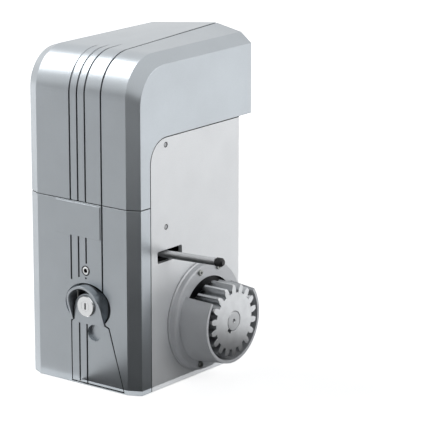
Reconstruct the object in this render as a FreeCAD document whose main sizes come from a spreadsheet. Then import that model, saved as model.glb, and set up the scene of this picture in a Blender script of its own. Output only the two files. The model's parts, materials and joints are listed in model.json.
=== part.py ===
"""Sliding gate motor: a rack-driving operator with its gear motor, release and control gear.

Frame: millimetres, +X towards the gate (the pinion side), +Y away from the lock face, +Z up.
The origin is the centre of the four foundation bolts, on the ground.
"""
import FreeCAD, Part
import math
import os
import re
import Sketcher

Vector = FreeCAD.Vector

# Every driving dimension: alias, value in millimetres, degrees or pieces, meaning.
SIZES = [
    ("body_width", 150.0, "outside width across the two cheeks"),
    ("front_reach", 89.0, "bolt centre to the front face"),
    ("cover_rear", 107.0, "bolt centre to the back of the upper cover"),
    ("case_rear", 91.5, "bolt centre to the back of the case"),
    ("top_height", 360.0, "ground to the shoulders of the upper cover"),
    ("crest_rise", 6.5, "how far the crest climbs above the shoulders at the back"),
    ("crest_side", 27.0, "crest line, measured from the middle"),
    ("left_drop", 2.7, "how far the left shoulder lies below the right one"),
    ("bevel_side", 14.0, "bevel, measured across the width"),
    ("bevel_front", 7.0, "bevel, measured back from the front face"),
    ("bevel_top", 10.7, "bevel, measured down from the shoulders"),
    ("arch_radius", 45.0, "rounding from the front face into the top"),
    ("bevel_arch_drop", 5.0, "how much tighter the arch is on the cheeks"),
    ("parting_height", 201.0, "joint between the lower and the upper cover"),
    ("cover_wall", 3.0, "wall of the two covers"),
    ("seam_gap", 1.0, "open joint between covers and case"),
    ("seam_front", 66.0, "joint line in front of the case cheeks"),
    ("seam_top", 272.0, "joint line above the case cheeks"),
    ("seam_corner", 27.0, "rounding of that joint line"),
    ("fit_gap", 0.4, "air between pieces that only lie side by side"),
    ("running_gap", 0.05, "radial air of a shaft that turns in a hole"),
    ("case_wall", 5.0, "wall of the cast case"),
    ("case_corner", 9.0, "rounding of the back corners of the case"),
    ("base_thickness", 8.0, "foot plate of the case"),
    ("base_front", 84.0, "foot plate, forward of the bolt centre"),
    ("bolt_span_side", 104.0, "foundation bolts, across"),
    ("bolt_span_depth", 146.0, "foundation bolts, front to back"),
    ("bolt_hole", 11.0, "foundation bolt hole"),
    ("cable_side", 20.0, "cable inlet, right of the middle"),
    ("cable_back", 70.0, "cable inlet, behind the bolt centre"),
    ("cable_hole", 26.0, "cable inlet in the foot plate"),
    ("cable_bore", 18.0, "free bore of the grommet"),
    ("output_back", 22.0, "output axis behind the bolt centre"),
    ("output_height", 65.5, "output axis above the ground"),
    ("pinion_teeth", 18.0, "teeth of the rack pinion"),
    ("pinion_module", 4.0, "module of the rack pinion"),
    ("pinion_reach", 42.0, "pinion face beyond the case cheek"),
    ("pinion_width", 30.0, "length of the pinion teeth"),
    ("pinion_dish", 1.2, "tooth edge chamfer of the pinion"),
    ("shaft_end", 11.0, "output shaft radius in the pinion"),
    ("shaft_journal", 12.5, "output shaft radius in its bearings"),
    ("key_width", 6.0, "feather key width"),
    ("key_rise", 2.8, "feather key above the shaft"),
    ("key_angle", 230.0, "where the pinion key sits, turned from the back"),
    ("guard_base", 61.0, "radius of the guard flange at the case"),
    ("guard_face", 57.5, "radius of the guard flange in front"),
    ("guard_step", 8.0, "thickness of the guard flange"),
    ("guard_root", 50.0, "outer radius of the shroud at the flange"),
    ("guard_rim", 46.5, "outer radius of the shroud at its rim"),
    ("guard_reach", 41.0, "rim of the shroud beyond the case cheek"),
    ("guard_wall", 3.2, "wall of the shroud"),
    ("guard_opening", 107.0, "open angle of the shroud above the pinion"),
    ("guard_screw_ring", 53.7, "radius on which the guard screws sit"),
    ("guard_screw_angle", 17.0, "guard screws, either side of the vertical"),
    ("wheel_teeth", 32.0, "teeth of the worm wheel"),
    ("wheel_module", 2.5, "module of the worm wheel"),
    ("wheel_width", 14.0, "face width of the worm wheel"),
    ("worm_pitch_radius", 15.0, "pitch radius of the worm"),
    ("motor_side", 15.0, "worm and motor axis, left of the middle"),
    ("drum_inner", 45.0, "inside radius of the wheel chamber"),
    ("drum_wall", 5.0, "wall of the wheel chamber"),
    ("drum_half", 15.0, "half width of the wheel chamber"),
    ("barrel_radius", 25.0, "outside radius of the worm barrel"),
    ("worm_bore", 20.0, "inside radius of the worm barrel"),
    ("saddle_half", 34.0, "half length of the foot under the wheel chamber"),
    ("boss_radius", 34.0, "outside radius of the output boss"),
    ("boss_bore", 27.0, "inside radius of the output boss"),
    ("rib_half", 12.0, "half width of the rib below the output boss"),
    ("bearing_inset", 21.0, "output bearing seat, inwards from the cheek"),
    ("bearing_outer", 26.0, "outside radius of the output bearing"),
    ("bearing_width", 15.0, "width of the output bearing"),
    ("worm_foot", 26.0, "top of the lower worm bearing"),
    ("worm_bearing_outer", 17.5, "outside radius of the lower worm bearing"),
    ("worm_bearing_width", 11.0, "width of the lower worm bearing"),
    ("fork_window", 10.5, "half width of the window for the release fork"),
    ("lug_plate", 3.0, "plate that takes the cover screw"),
    ("cover_thread", 2.0, "thread radius of the cover screw"),
    ("guard_thread", 2.0, "thread radius of the guard screws"),
    ("chamber_thread", 1.5, "thread radius of the wheel chamber's cover screws"),
    ("chamber_screw", 10.0, "length of the wheel chamber's cover screws"),
    ("plug_front", 40.5, "cheek plugs, forward of the bolt centre"),
    ("plug_low", 175.6, "lower cheek plug above the ground"),
    ("plug_high", 264.0, "upper cheek plug above the ground"),
    ("plug_radius", 3.0, "radius of the cheek plugs"),
    ("hub_radius", 20.0, "radius of the wheel hub and its claws"),
    ("claw_length", 5.0, "engagement of the release clutch"),
    ("sleeve_radius", 21.0, "radius of the clutch sleeve"),
    ("sleeve_groove", 16.5, "radius of the sleeve at the bottom of its fork groove"),
    ("sleeve_middle", 16.0, "fork groove of the sleeve, right of the middle"),
    ("fork_plate", 2.8, "thickness of the release fork"),
    ("release_pivot_side", 20.0, "release lever pivot, right of the middle"),
    ("release_pivot_front", 40.0, "release lever pivot, forward of the bolt centre"),
    ("door_arch_drop", 6.5, "how far the arched top of the door stays below its opening"),
    ("door_swing", 75.0, "how far the release door opens"),
    ("lever_swing", 8.0, "turn of the release lever for the whole door swing"),
    ("lobe_start", 60.0, "rest position of the door stud, turned left of straight back"),
    ("lobe_length", 13.0, "door cam, measured from the hinge axis"),
    ("rod_start", 6.0, "limit rod, where it leaves its hub"),
    ("tip_length", 8.0, "end cap of the limit rod"),
    ("rotor_low", 17.0, "rotor pack above the motor flange"),
    ("flange_height", 118.0, "top of the gear case, where the motor stands"),
    ("flange_plate", 7.0, "thickness of the motor flange"),
    ("motor_radius", 46.0, "outside radius of the stator"),
    ("stator_height", 70.0, "length of the stator pack"),
    ("rotor_radius", 27.5, "radius of the rotor"),
    ("slot_low", 138.3, "lower edge of the limit lever slot"),
    ("slot_high", 151.0, "upper edge of the limit lever slot"),
    ("slot_front", 55.0, "front end of the limit lever slot"),
    ("slot_back", 14.0, "back end of the limit lever slot"),
    ("lever_pivot_side", 50.0, "limit lever pivot, right of the middle"),
    ("lever_pivot_front", 39.0, "limit lever pivot, forward of the bolt centre"),
    ("lever_radius", 4.3, "radius of the limit spring rod"),
    ("lever_length", 91.0, "limit lever, pivot to tip"),
    ("lever_yaw", 8.0, "rest angle of the limit lever"),
    ("groove_pitch", 10.4, "distance between the three styling grooves"),
    ("groove_middle", -4.5, "middle styling groove"),
    ("groove_fourth", 28.0, "the fourth styling groove"),
    ("groove_width", 2.0, "width of a styling groove"),
    ("groove_depth", 1.6, "depth of a styling groove"),
    ("badge_low", 163.0, "lower edge of the blank badge place"),
    ("badge_left", 36.0, "left end of the blank badge place"),
    ("badge_right", 25.5, "right end of the blank badge place"),
    ("badge_rise", 0.7, "how far the blank badge place stands out"),
    ("screw_side", 5.0, "cover screw, right of the middle"),
    ("screw_height", 126.6, "cover screw above the ground"),
    ("door_left", -15.0, "left edge of the release door"),
    ("door_right_low", 55.5, "right edge of the release door at its foot"),
    ("door_right_high", 35.5, "right edge of the release door at its shoulder"),
    ("door_shoulder", 68.0, "height of the shoulder of the release door"),
    ("door_foot", 2.5, "lower edge of the release door"),
    ("door_thickness", 3.5, "thickness of the release door"),
    ("door_gap", 1.3, "open joint round the release door"),
    ("hood_side", 7.5, "middle of the lock hood"),
    ("hood_height", 89.0, "centre of the lock hood's arch"),
    ("hood_radius", 23.0, "outside radius of the lock hood"),
    ("hood_wall", 2.6, "wall of the lock hood"),
    ("hood_reach", 11.0, "how far the hood stands out at its crown"),
    ("scoop_side", 31.0, "half width of the scoop round the lock"),
    ("scoop_rise", 24.0, "half height of the scoop round the lock"),
    ("scoop_depth", 11.0, "depth of the scoop round the lock"),
    ("lock_side", 5.3, "lock axis, right of the middle"),
    ("lock_height", 88.0, "lock axis above the ground"),
    ("lock_radius", 11.7, "radius of the lock's face"),
    ("recess_side", 16.0, "finger recess, right of the middle"),
    ("recess_height", 60.0, "finger recess above the ground"),
    ("recess_radius", 9.0, "radius of the finger recess"),
    ("recess_depth", 4.5, "depth of the finger recess"),
    ("hinge_side", 7.2, "hinge axis, inwards from the door's left edge"),
    ("hinge_depth", 2.0, "hinge axis, behind the front face"),
    ("hinge_pin", 1.0, "radius of the hinge pins"),
    ("tray_height", 256.0, "underside of the board tray"),
    ("tray_plate", 2.0, "thickness of the board tray"),
    ("shelf_plate", 2.5, "thickness of the equipment shelf"),
]

doc = FreeCAD.newDocument("SlidingGateMotor")
sheet = doc.addObject("Spreadsheet::Sheet", "Sizes")
for row, (alias, value, meaning) in enumerate(SIZES, start=1):
    sheet.set("A%d" % row, meaning)
    sheet.set("B%d" % row, repr(value))
    sheet.setAlias("B%d" % row, alias)
doc.recompute()

ALIASES = {alias for alias, value, meaning in SIZES}
NODES = []


# ---------------------------------------------------------------- helpers

def formula(text):
    """Turn a plain formula on aliases into an expression on the sheet."""
    return re.sub(r"[a-z][a-z_]*", lambda word: "Sizes." + word.group()
                  if word.group() in ALIASES else word.group(), str(text))


def number(text):
    """Value of a formula, for starting positions and edge searches."""
    return float(sheet.evalExpression(formula(text)))


def bind(thing, name, text):
    thing.setExpression(name, formula(text))


def place(thing, at, turn=None):
    """Put an object at a point given by three formulas, after a fixed turn."""
    if turn is not None:
        thing.Placement = FreeCAD.Placement(Vector(), turn)
    for axis, text in zip("xyz", at):
        bind(thing, "Placement.Base." + axis, text)


def body(label):
    return doc.addObject("PartDesign::Body", label)


def sketch(owner, plane, offset="0"):
    """Sketch on one of the body's own origin planes, moved along its normal."""
    made = owner.newObject("Sketcher::SketchObject", "Sketch")
    origin_plane = [item for item in owner.Origin.OriginFeatures if item.Role == plane][0]
    made.AttachmentSupport = [(origin_plane, "")]
    made.MapMode = "FlatFace"
    bind(made, "AttachmentOffset.Base.z", offset)
    return made


def pin_point(made, geometry, end, at):
    """Hold one end of a sketch line or arc at a point given by two formulas."""
    for kind, text in zip(("DistanceX", "DistanceY"), at):
        held = made.addConstraint(Sketcher.Constraint(kind, geometry, end, number(text)))
        bind(made, "Constraints[%d]" % held, text)


def arc_between(start, end, radius):
    """Arc from start to end; a positive radius turns left on the way."""
    chord = end - start
    half = chord.Length / 2
    rise = math.sqrt(max(radius * radius - half * half, 0.0))
    side = Vector(-chord.y, chord.x, 0).normalize()
    turn = 1 if radius > 0 else -1
    centre = start + chord * 0.5 + side * rise * turn
    middle = centre - side * abs(radius) * turn
    return Part.Arc(start, middle, end)


def outline(made, points):
    """Closed outline. A point is (x, y), or (x, y, radius) to reach it by an arc."""
    first = made.GeometryCount
    count = len(points)
    spots = [Vector(number(point[0]), number(point[1]), 0) for point in points]
    flipped = []
    for index, point in enumerate(points):
        start, end = spots[index - 1], spots[index]
        if len(point) == 3:
            made.addGeometry(arc_between(start, end, number(point[2])))
            flipped.append(number(point[2]) < 0)
        else:
            made.addGeometry(Part.LineSegment(start, end))
            flipped.append(False)
    ends = [(1, 2) if flip else (2, 1) for flip in flipped]
    for index, point in enumerate(points):
        geometry = first + index
        following = first + (index + 1) % count
        last, nxt = ends[index][0], ends[(index + 1) % count][1]
        made.addConstraint(Sketcher.Constraint("Coincident", geometry, last, following, nxt))
        pin_point(made, geometry, last, point)
        if len(point) == 3:
            held = made.addConstraint(
                Sketcher.Constraint("Radius", geometry, abs(number(point[2]))))
            bind(made, "Constraints[%d]" % held, "abs(%s)" % point[2])


def circle(made, at, radius):
    spot = Vector(number(at[0]), number(at[1]), 0)
    geometry = made.addGeometry(Part.Circle(spot, Vector(0, 0, 1), number(radius)))
    pin_point(made, geometry, 3, at)
    held = made.addConstraint(Sketcher.Constraint("Radius", geometry, number(radius)))
    bind(made, "Constraints[%d]" % held, radius)


def pad(owner, made, length, both_ways=False, backwards=False):
    feature = owner.newObject("PartDesign::Pad", "Pad")
    feature.Profile = made
    bind(feature, "Length", length)
    feature.SideType = "Symmetric" if both_ways else "One side"
    feature.Reversed = backwards
    return feature


def pocket(owner, made, length, both_ways=False, backwards=False):
    """Cut a pocket, and check that it took something away."""
    doc.recompute()
    before = owner.Shape.Volume
    feature = owner.newObject("PartDesign::Pocket", "Pocket")
    feature.Profile = made
    bind(feature, "Length", length)
    feature.SideType = "Symmetric" if both_ways else "One side"
    feature.Reversed = backwards
    doc.recompute()
    if owner.Shape.Volume > before - 0.01:
        raise RuntimeError("%s: a pocket cuts nothing" % owner.Label)
    return feature


def revolve(owner, made, cut=False):
    kind = "PartDesign::Groove" if cut else "PartDesign::Revolution"
    feature = owner.newObject(kind, "Revolved")
    feature.Profile = made
    feature.ReferenceAxis = (made, ["V_Axis"])
    feature.Angle = 360
    return feature


def around(owner, feature, count, plane_axis="Z_Axis"):
    """Repeat a feature evenly round one of the body's own axes."""
    pattern = owner.newObject("PartDesign::PolarPattern", "Pattern")
    pattern.Originals = [feature]
    axis = [item for item in owner.Origin.OriginFeatures if item.Role == plane_axis][0]
    pattern.Axis = (axis, [""])
    pattern.Angle = 360
    bind(pattern, "Occurrences", count)
    owner.Tip = pattern
    doc.recompute()
    return pattern


def edges_where(shape, test):
    """Names of the edges whose every vertex and middle point pass a test."""
    names = []
    for index, edge in enumerate(shape.Edges, start=1):
        middle = edge.valueAt((edge.FirstParameter + edge.LastParameter) / 2)
        spots = [vertex.Point for vertex in edge.Vertexes] + [middle]
        if all(test(spot) for spot in spots):
            names.append("Edge%d" % index)
    return names


def soften(owner, test, size, kind="Fillet"):
    """Fillet or chamfer the edges of the body's last feature that pass a test."""
    doc.recompute()
    last = owner.Tip
    names = edges_where(last.Shape, test)
    if not names:
        raise RuntimeError("%s: no edge to soften" % owner.Label)
    feature = owner.newObject("PartDesign::" + kind, kind)
    feature.Base = (last, names)
    bind(feature, "Radius" if kind == "Fillet" else "Size", size)
    doc.recompute()
    return feature


TO_X = FreeCAD.Rotation(Vector(0, 1, 0), 90)
TO_FRONT = FreeCAD.Rotation(Vector(1, 0, 0), 90)
UPRIGHT = FreeCAD.Rotation()
DOWNWARD = FreeCAD.Rotation(Vector(1, 0, 0), 180)


def turned(label, profile, at=("0", "0", "0"), turn=UPRIGHT):
    """Turned piece: an outline of (radius, height) revolved about its own axis."""
    made = body(label)
    shape = sketch(made, "XZ_Plane")
    outline(shape, profile)
    revolve(made, shape)
    place(made, at, turn)
    return made


def ring(label, inner, outer, low, high, at=("0", "0", "0"), turn=UPRIGHT):
    profile = [(inner, low), (outer, low), (outer, high), (inner, high)]
    return turned(label, profile, at, turn)


def rod(label, radius, low, high, at=("0", "0", "0"), turn=UPRIGHT):
    return ring(label, "0", radius, low, high, at, turn)


def block(label, low, high):
    """Box between two corners, each given by three formulas."""
    made = doc.addObject("Part::Box", label)
    for side, axis, start, end in zip(("Length", "Width", "Height"), "xyz", low, high):
        bind(made, side, "(%s) - (%s)" % (end, start))
        bind(made, "Placement.Base." + axis, start)
    return made


def joined(label, parts):
    made = doc.addObject("Part::MultiFuse", label)
    made.Shapes = parts
    return made


def without(label, base, tools):
    """Base with the tools cut away."""
    made = doc.addObject("Part::Cut", label)
    made.Base = base
    made.Tool = tools[0] if len(tools) == 1 else joined(label + "_tools", tools)
    return made


def bundle(label, pieces):
    """Several equal, separate pieces that share one node."""
    made = doc.addObject("Part::Compound", label)
    made.Links = pieces
    return made


def keep(thing, label):
    """Name the finished sub-part and put it on the list of nodes."""
    thing.Label = label
    NODES.append(thing)
    return thing


def screw(label, at, turn, head="4", head_height="3.2", shank="2", length="10", socket="2"):
    """Cap screw: the head stands out from the seat, the shank runs in."""
    profile = [("0", "0 - (%s)" % length), (shank, "0 - (%s)" % length), (shank, "0"),
               (head, "0"), (head, "(%s) * 0.8" % head_height),
               ("(%s) * 0.85" % head, head_height), (socket, head_height),
               (socket, "(%s) * 0.4" % head_height), ("0", "(%s) * 0.4" % head_height)]
    return turned(label, profile, at, turn)


# ---------------------------------------------------------------- covers

BEVEL_X = "body_width/2 - bevel_side"


def cover_side(owner, across, front, top, rise, radius, low, back):
    """Side profile of a cover at one distance from the middle, as a sketch."""
    made = sketch(owner, "YZ_Plane", across)
    outline(made, [
        ("-(%s)" % front, low),
        ("-(%s)" % front, "%s - (%s)" % (top, radius)),
        ("-(%s) + (%s)" % (front, radius), top, "-(%s)" % radius),
        (back, "%s + (%s)" % (top, rise)),
        (back, low)])
    return made


def cover_sections(owner, wall, low, back):
    """Five side profiles, from the left cheek over the crest to the right cheek."""
    inner = "(%s)*0.3" % wall
    outer = "(%s)*0.6" % wall
    left_top = "top_height - left_drop"
    tight = "arch_radius - bevel_arch_drop"
    return [
        cover_side(owner, "-(body_width/2 - %s)" % wall, "front_reach - bevel_front - " + outer,
                   left_top + " - bevel_top*0.4 - " + outer, "0", tight, low, back),
        cover_side(owner, "-(%s - %s)" % (BEVEL_X, inner), "front_reach - " + wall,
                   left_top + " - " + wall, "0", "arch_radius - " + wall, low, back),
        cover_side(owner, "crest_side", "front_reach - " + wall,
                   "top_height - " + wall, "crest_rise", "arch_radius - " + wall, low, back),
        cover_side(owner, "%s - %s" % (BEVEL_X, inner), "front_reach - " + wall,
                   "top_height - " + wall, "0", "arch_radius - " + wall, low, back),
        cover_side(owner, "body_width/2 - " + wall, "front_reach - bevel_front - " + outer,
                   "top_height - bevel_top - " + outer, "0", tight, low, back)]


def loft(owner, sections, cut=False):
    kind = "PartDesign::SubtractiveLoft" if cut else "PartDesign::AdditiveLoft"
    feature = owner.newObject(kind, "Loft")
    feature.Profile = sections[0]
    feature.Sections = sections[1:]
    feature.Ruled = True
    return feature


SEAM_Y = "-(seam_front + seam_gap/2)"
SEAM_Z = "seam_top + seam_gap/2"


def cut_seam(owner):
    """Clear the case cheeks out of a cover, with the round corner of the joint."""
    made = sketch(owner, "YZ_Plane")
    outline(made, [
        (SEAM_Y, "-10"),
        (SEAM_Y, SEAM_Z + " - seam_corner"),
        (SEAM_Y + " + seam_corner", SEAM_Z, "-seam_corner"),
        ("cover_rear + 20", SEAM_Z),
        ("cover_rear + 20", "-10")])
    pocket(owner, made, "body_width + 20", both_ways=True)


def groove_band(owner, across, low, fade):
    """Styling groove up the front, over the arch and, unless it fades, along the top."""
    made = sketch(owner, "YZ_Plane", across)
    deep = "arch_radius - groove_depth"
    top_end = "0.0 - front_reach + arch_radius"
    points = [
        ("-front_reach - 5", low),
        ("-front_reach + groove_depth", low),
        ("-front_reach + groove_depth", "top_height - arch_radius"),
        (top_end, "top_height - groove_depth", "-(%s)" % deep)]
    if fade:
        points += [("-front_reach + arch_radius + 55", "top_height + 3"),
                   ("-front_reach - 5", "top_height + 3")]
    else:
        points += [("cover_rear + 5", "top_height + crest_rise - groove_depth"),
                   ("cover_rear + 5", "top_height + crest_rise + 20"),
                   ("-front_reach - 5", "top_height + crest_rise + 20")]
    outline(made, points)
    pocket(owner, made, "groove_width", both_ways=True)


def upper_cover():
    """Moulded hood over motor and electronics: five side profiles, lofted and hollowed."""
    made = body("upper_cover")
    low = "parting_height + seam_gap/2"
    loft(made, cover_sections(made, "0", low, "cover_rear"))
    loft(made, cover_sections(made, "cover_wall", low + " - 5", "cover_rear - cover_wall"), cut=True)
    cut_seam(made)
    for step in (-1, 0, 1):
        groove_band(made, "groove_middle + %d*groove_pitch" % step, low + " - 5", True)
    groove_band(made, "groove_fourth", low + " - 5", False)
    tab = sketch(made, "XZ_Plane", "front_reach - cover_wall - fit_gap")
    outline(tab, [
        ("screw_side - 9", "screw_height - 8"), ("screw_side - 3", "screw_height - 8"),
        ("screw_side - 3", "screw_height + 3"), ("screw_side + 3", "screw_height + 3"),
        ("screw_side + 3", "screw_height - 8"), ("screw_side + 9", "screw_height - 8"),
        ("screw_side + 9", "parting_height + 12"), ("screw_side - 9", "parting_height + 12")])
    pad(made, tab, "cover_wall", backwards=True)
    foot = sketch(made, "XZ_Plane", "front_reach - cover_wall/2")
    outline(foot, [
        ("screw_side - 9", "parting_height + 3"), ("screw_side + 9", "parting_height + 3"),
        ("screw_side + 9", "parting_height + 12"), ("screw_side - 9", "parting_height + 12")])
    pad(made, foot, "cover_wall", backwards=True)
    keep(made, "upper_cover")


def front_shell(owner, wall, low):
    """Plan profile of the lower cover, or of the hollow inside it."""
    made = sketch(owner, "XY_Plane", low)
    back = SEAM_Y if wall == "0" else "0"
    side = "(body_width/2 - %s)" % wall
    near = "(%s - (%s)*0.24)" % (BEVEL_X, wall)
    front = "-(front_reach - %s)" % wall
    slant = "-(front_reach - bevel_front - (%s)*0.62)" % wall
    outline(made, [
        ("-" + side, back), ("-" + side, slant), ("-" + near, front),
        (near, front), (side, slant), (side, back)])
    return made


HINGE = ("door_left + hinge_side", "-(front_reach - hinge_depth)")
DOOR_ARCH = "(hood_radius - hood_wall - door_gap)"


def door_outline(made, grow, drop="0"):
    """Outline of the release door, grown by the joint round it for the opening."""
    left = "door_left - (%s)" % grow
    centre = "hood_height - (%s)" % drop
    arch = "(%s + %s)" % (DOOR_ARCH, grow)
    neck = "door_shoulder + 3 + (%s)" % grow
    outline(made, [
        (left, "door_foot - (%s)" % grow),
        ("door_right_low + (%s)" % grow, "door_foot - (%s)" % grow),
        ("door_right_high + (%s)" % grow, "door_shoulder + (%s)" % grow),
        ("hood_side + " + arch, neck),
        ("hood_side + " + arch, centre),
        ("hood_side", centre + " + " + arch, arch),
        ("hood_side - " + arch, centre, arch),
        ("hood_side - " + arch, neck),
        (left, "door_shoulder + (%s)" % grow)])


def front_rectangle(owner, left, low, right, high, depth="0"):
    """Rectangle on the front face, or on a plane that lies deeper."""
    made = sketch(owner, "XZ_Plane", "front_reach - (%s)" % depth)
    outline(made, [(left, low), (right, low), (right, high), (left, high)])
    return made


def front_groove(owner, across, low, high):
    half = "groove_width/2"
    pocket(owner, front_rectangle(owner, "%s - %s" % (across, half), low,
                                  "%s + %s" % (across, half), high), "groove_depth")


def half_ellipsoid(owner, kind, extra):
    """Hollow of the scoop, or its shell when it is made larger, behind the front face."""
    made = owner.newObject("PartDesign::%sEllipsoid" % kind, "Scoop")
    plane = [item for item in owner.Origin.OriginFeatures if item.Role == "XZ_Plane"][0]
    made.AttachmentSupport = [(plane, "")]
    made.MapMode = "FlatFace"
    bind(made, "AttachmentOffset.Base.x", "hood_side")
    bind(made, "AttachmentOffset.Base.y", "hood_height")
    bind(made, "AttachmentOffset.Base.z", "front_reach")
    bind(made, "Radius1", "scoop_depth + (%s)" % extra)
    bind(made, "Radius2", "scoop_side + (%s)" % extra)
    bind(made, "Radius3", "scoop_rise + (%s)" % extra)
    made.Angle1 = -90
    made.Angle2 = 0
    return made


def lock_hood(owner):
    """Arched visor over the lock, its legs running out to points beside the door."""
    inner = "(hood_radius - hood_wall)"
    outer = "hood_radius"
    made = sketch(owner, "XZ_Plane", "front_reach + hood_reach")
    outline(made, [
        ("hood_side - " + outer, "door_shoulder + 2"),
        ("hood_side - " + outer, "hood_height"),
        ("hood_side", "hood_height + " + outer, "-" + outer),
        ("hood_side + " + outer, "hood_height", "-" + outer),
        ("hood_side + " + outer, "door_shoulder + 2"),
        ("hood_side + " + inner, "door_shoulder + 2"),
        ("hood_side + " + inner, "hood_height"),
        ("hood_side", "hood_height + " + inner, inner),
        ("hood_side - " + inner, "hood_height", inner),
        ("hood_side - " + inner, "door_shoulder + 2")])
    pad(owner, made, "hood_reach + scoop_depth*0.8", backwards=True)
    slope = sketch(owner, "YZ_Plane", "hood_side")
    outline(slope, [
        ("-front_reach", "door_shoulder"),
        ("-front_reach - hood_reach", "hood_height + hood_radius/2"),
        ("-front_reach - hood_reach - 5", "hood_height + hood_radius/2"),
        ("-front_reach - hood_reach - 5", "door_shoulder")])
    pocket(owner, slope, "2*hood_radius + 2", both_ways=True)


def lower_front_cover():
    """Front apron with the lock scoop, its hood, the door opening and a blank badge place."""
    made = body("lower_front_cover")
    high = "(parting_height - seam_gap/2)"
    pad(made, front_shell(made, "0", "0"), high)
    pocket(made, front_shell(made, "cover_wall", "-1"), high + " + 2", backwards=True)
    half_ellipsoid(made, "Additive", "cover_wall")
    half_ellipsoid(made, "Subtractive", "0")
    lock_hood(made)
    opening = sketch(made, "XZ_Plane", "front_reach - cover_wall - scoop_depth - 10")
    door_outline(opening, "door_gap")
    pocket(made, opening, "cover_wall + scoop_depth + 10", backwards=True)
    badge = front_rectangle(made, "-badge_left", "badge_low", "badge_right",
                            high + " - groove_depth", "cover_wall/2")
    pad(made, badge, "cover_wall/2 + badge_rise")
    stops = {-1: "hood_height + hood_radius + 2", 0: "hood_height + hood_radius + 6",
             1: "screw_height + 8"}
    for step, stop in stops.items():
        front_groove(made, "groove_middle + %d*groove_pitch" % step, stop, "badge_low")
    front_groove(made, "groove_fourth", "hood_height + 10", "parting_height + 5")
    seat = sketch(made, "XZ_Plane", "front_reach")
    circle(seat, ("screw_side", "screw_height"), "5.6")
    pocket(made, seat, "1.2")
    hole = sketch(made, "XZ_Plane", "front_reach")
    circle(hole, ("screw_side", "screw_height"), "2.6")
    circle(hole, ("screw_side", "screw_height - 8.2"), "1.1")
    pocket(made, hole, "cover_wall + 5")
    for low, length in (("0.2", "door_foot"), ("hood_height + 9", "hood_height/5")):
        pin = sketch(made, "XY_Plane", low)
        circle(pin, HINGE, "hinge_pin")
        pocket(made, pin, length, backwards=True)
    keep(made, "lower_front_cover")


# ---------------------------------------------------------------- case

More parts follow.
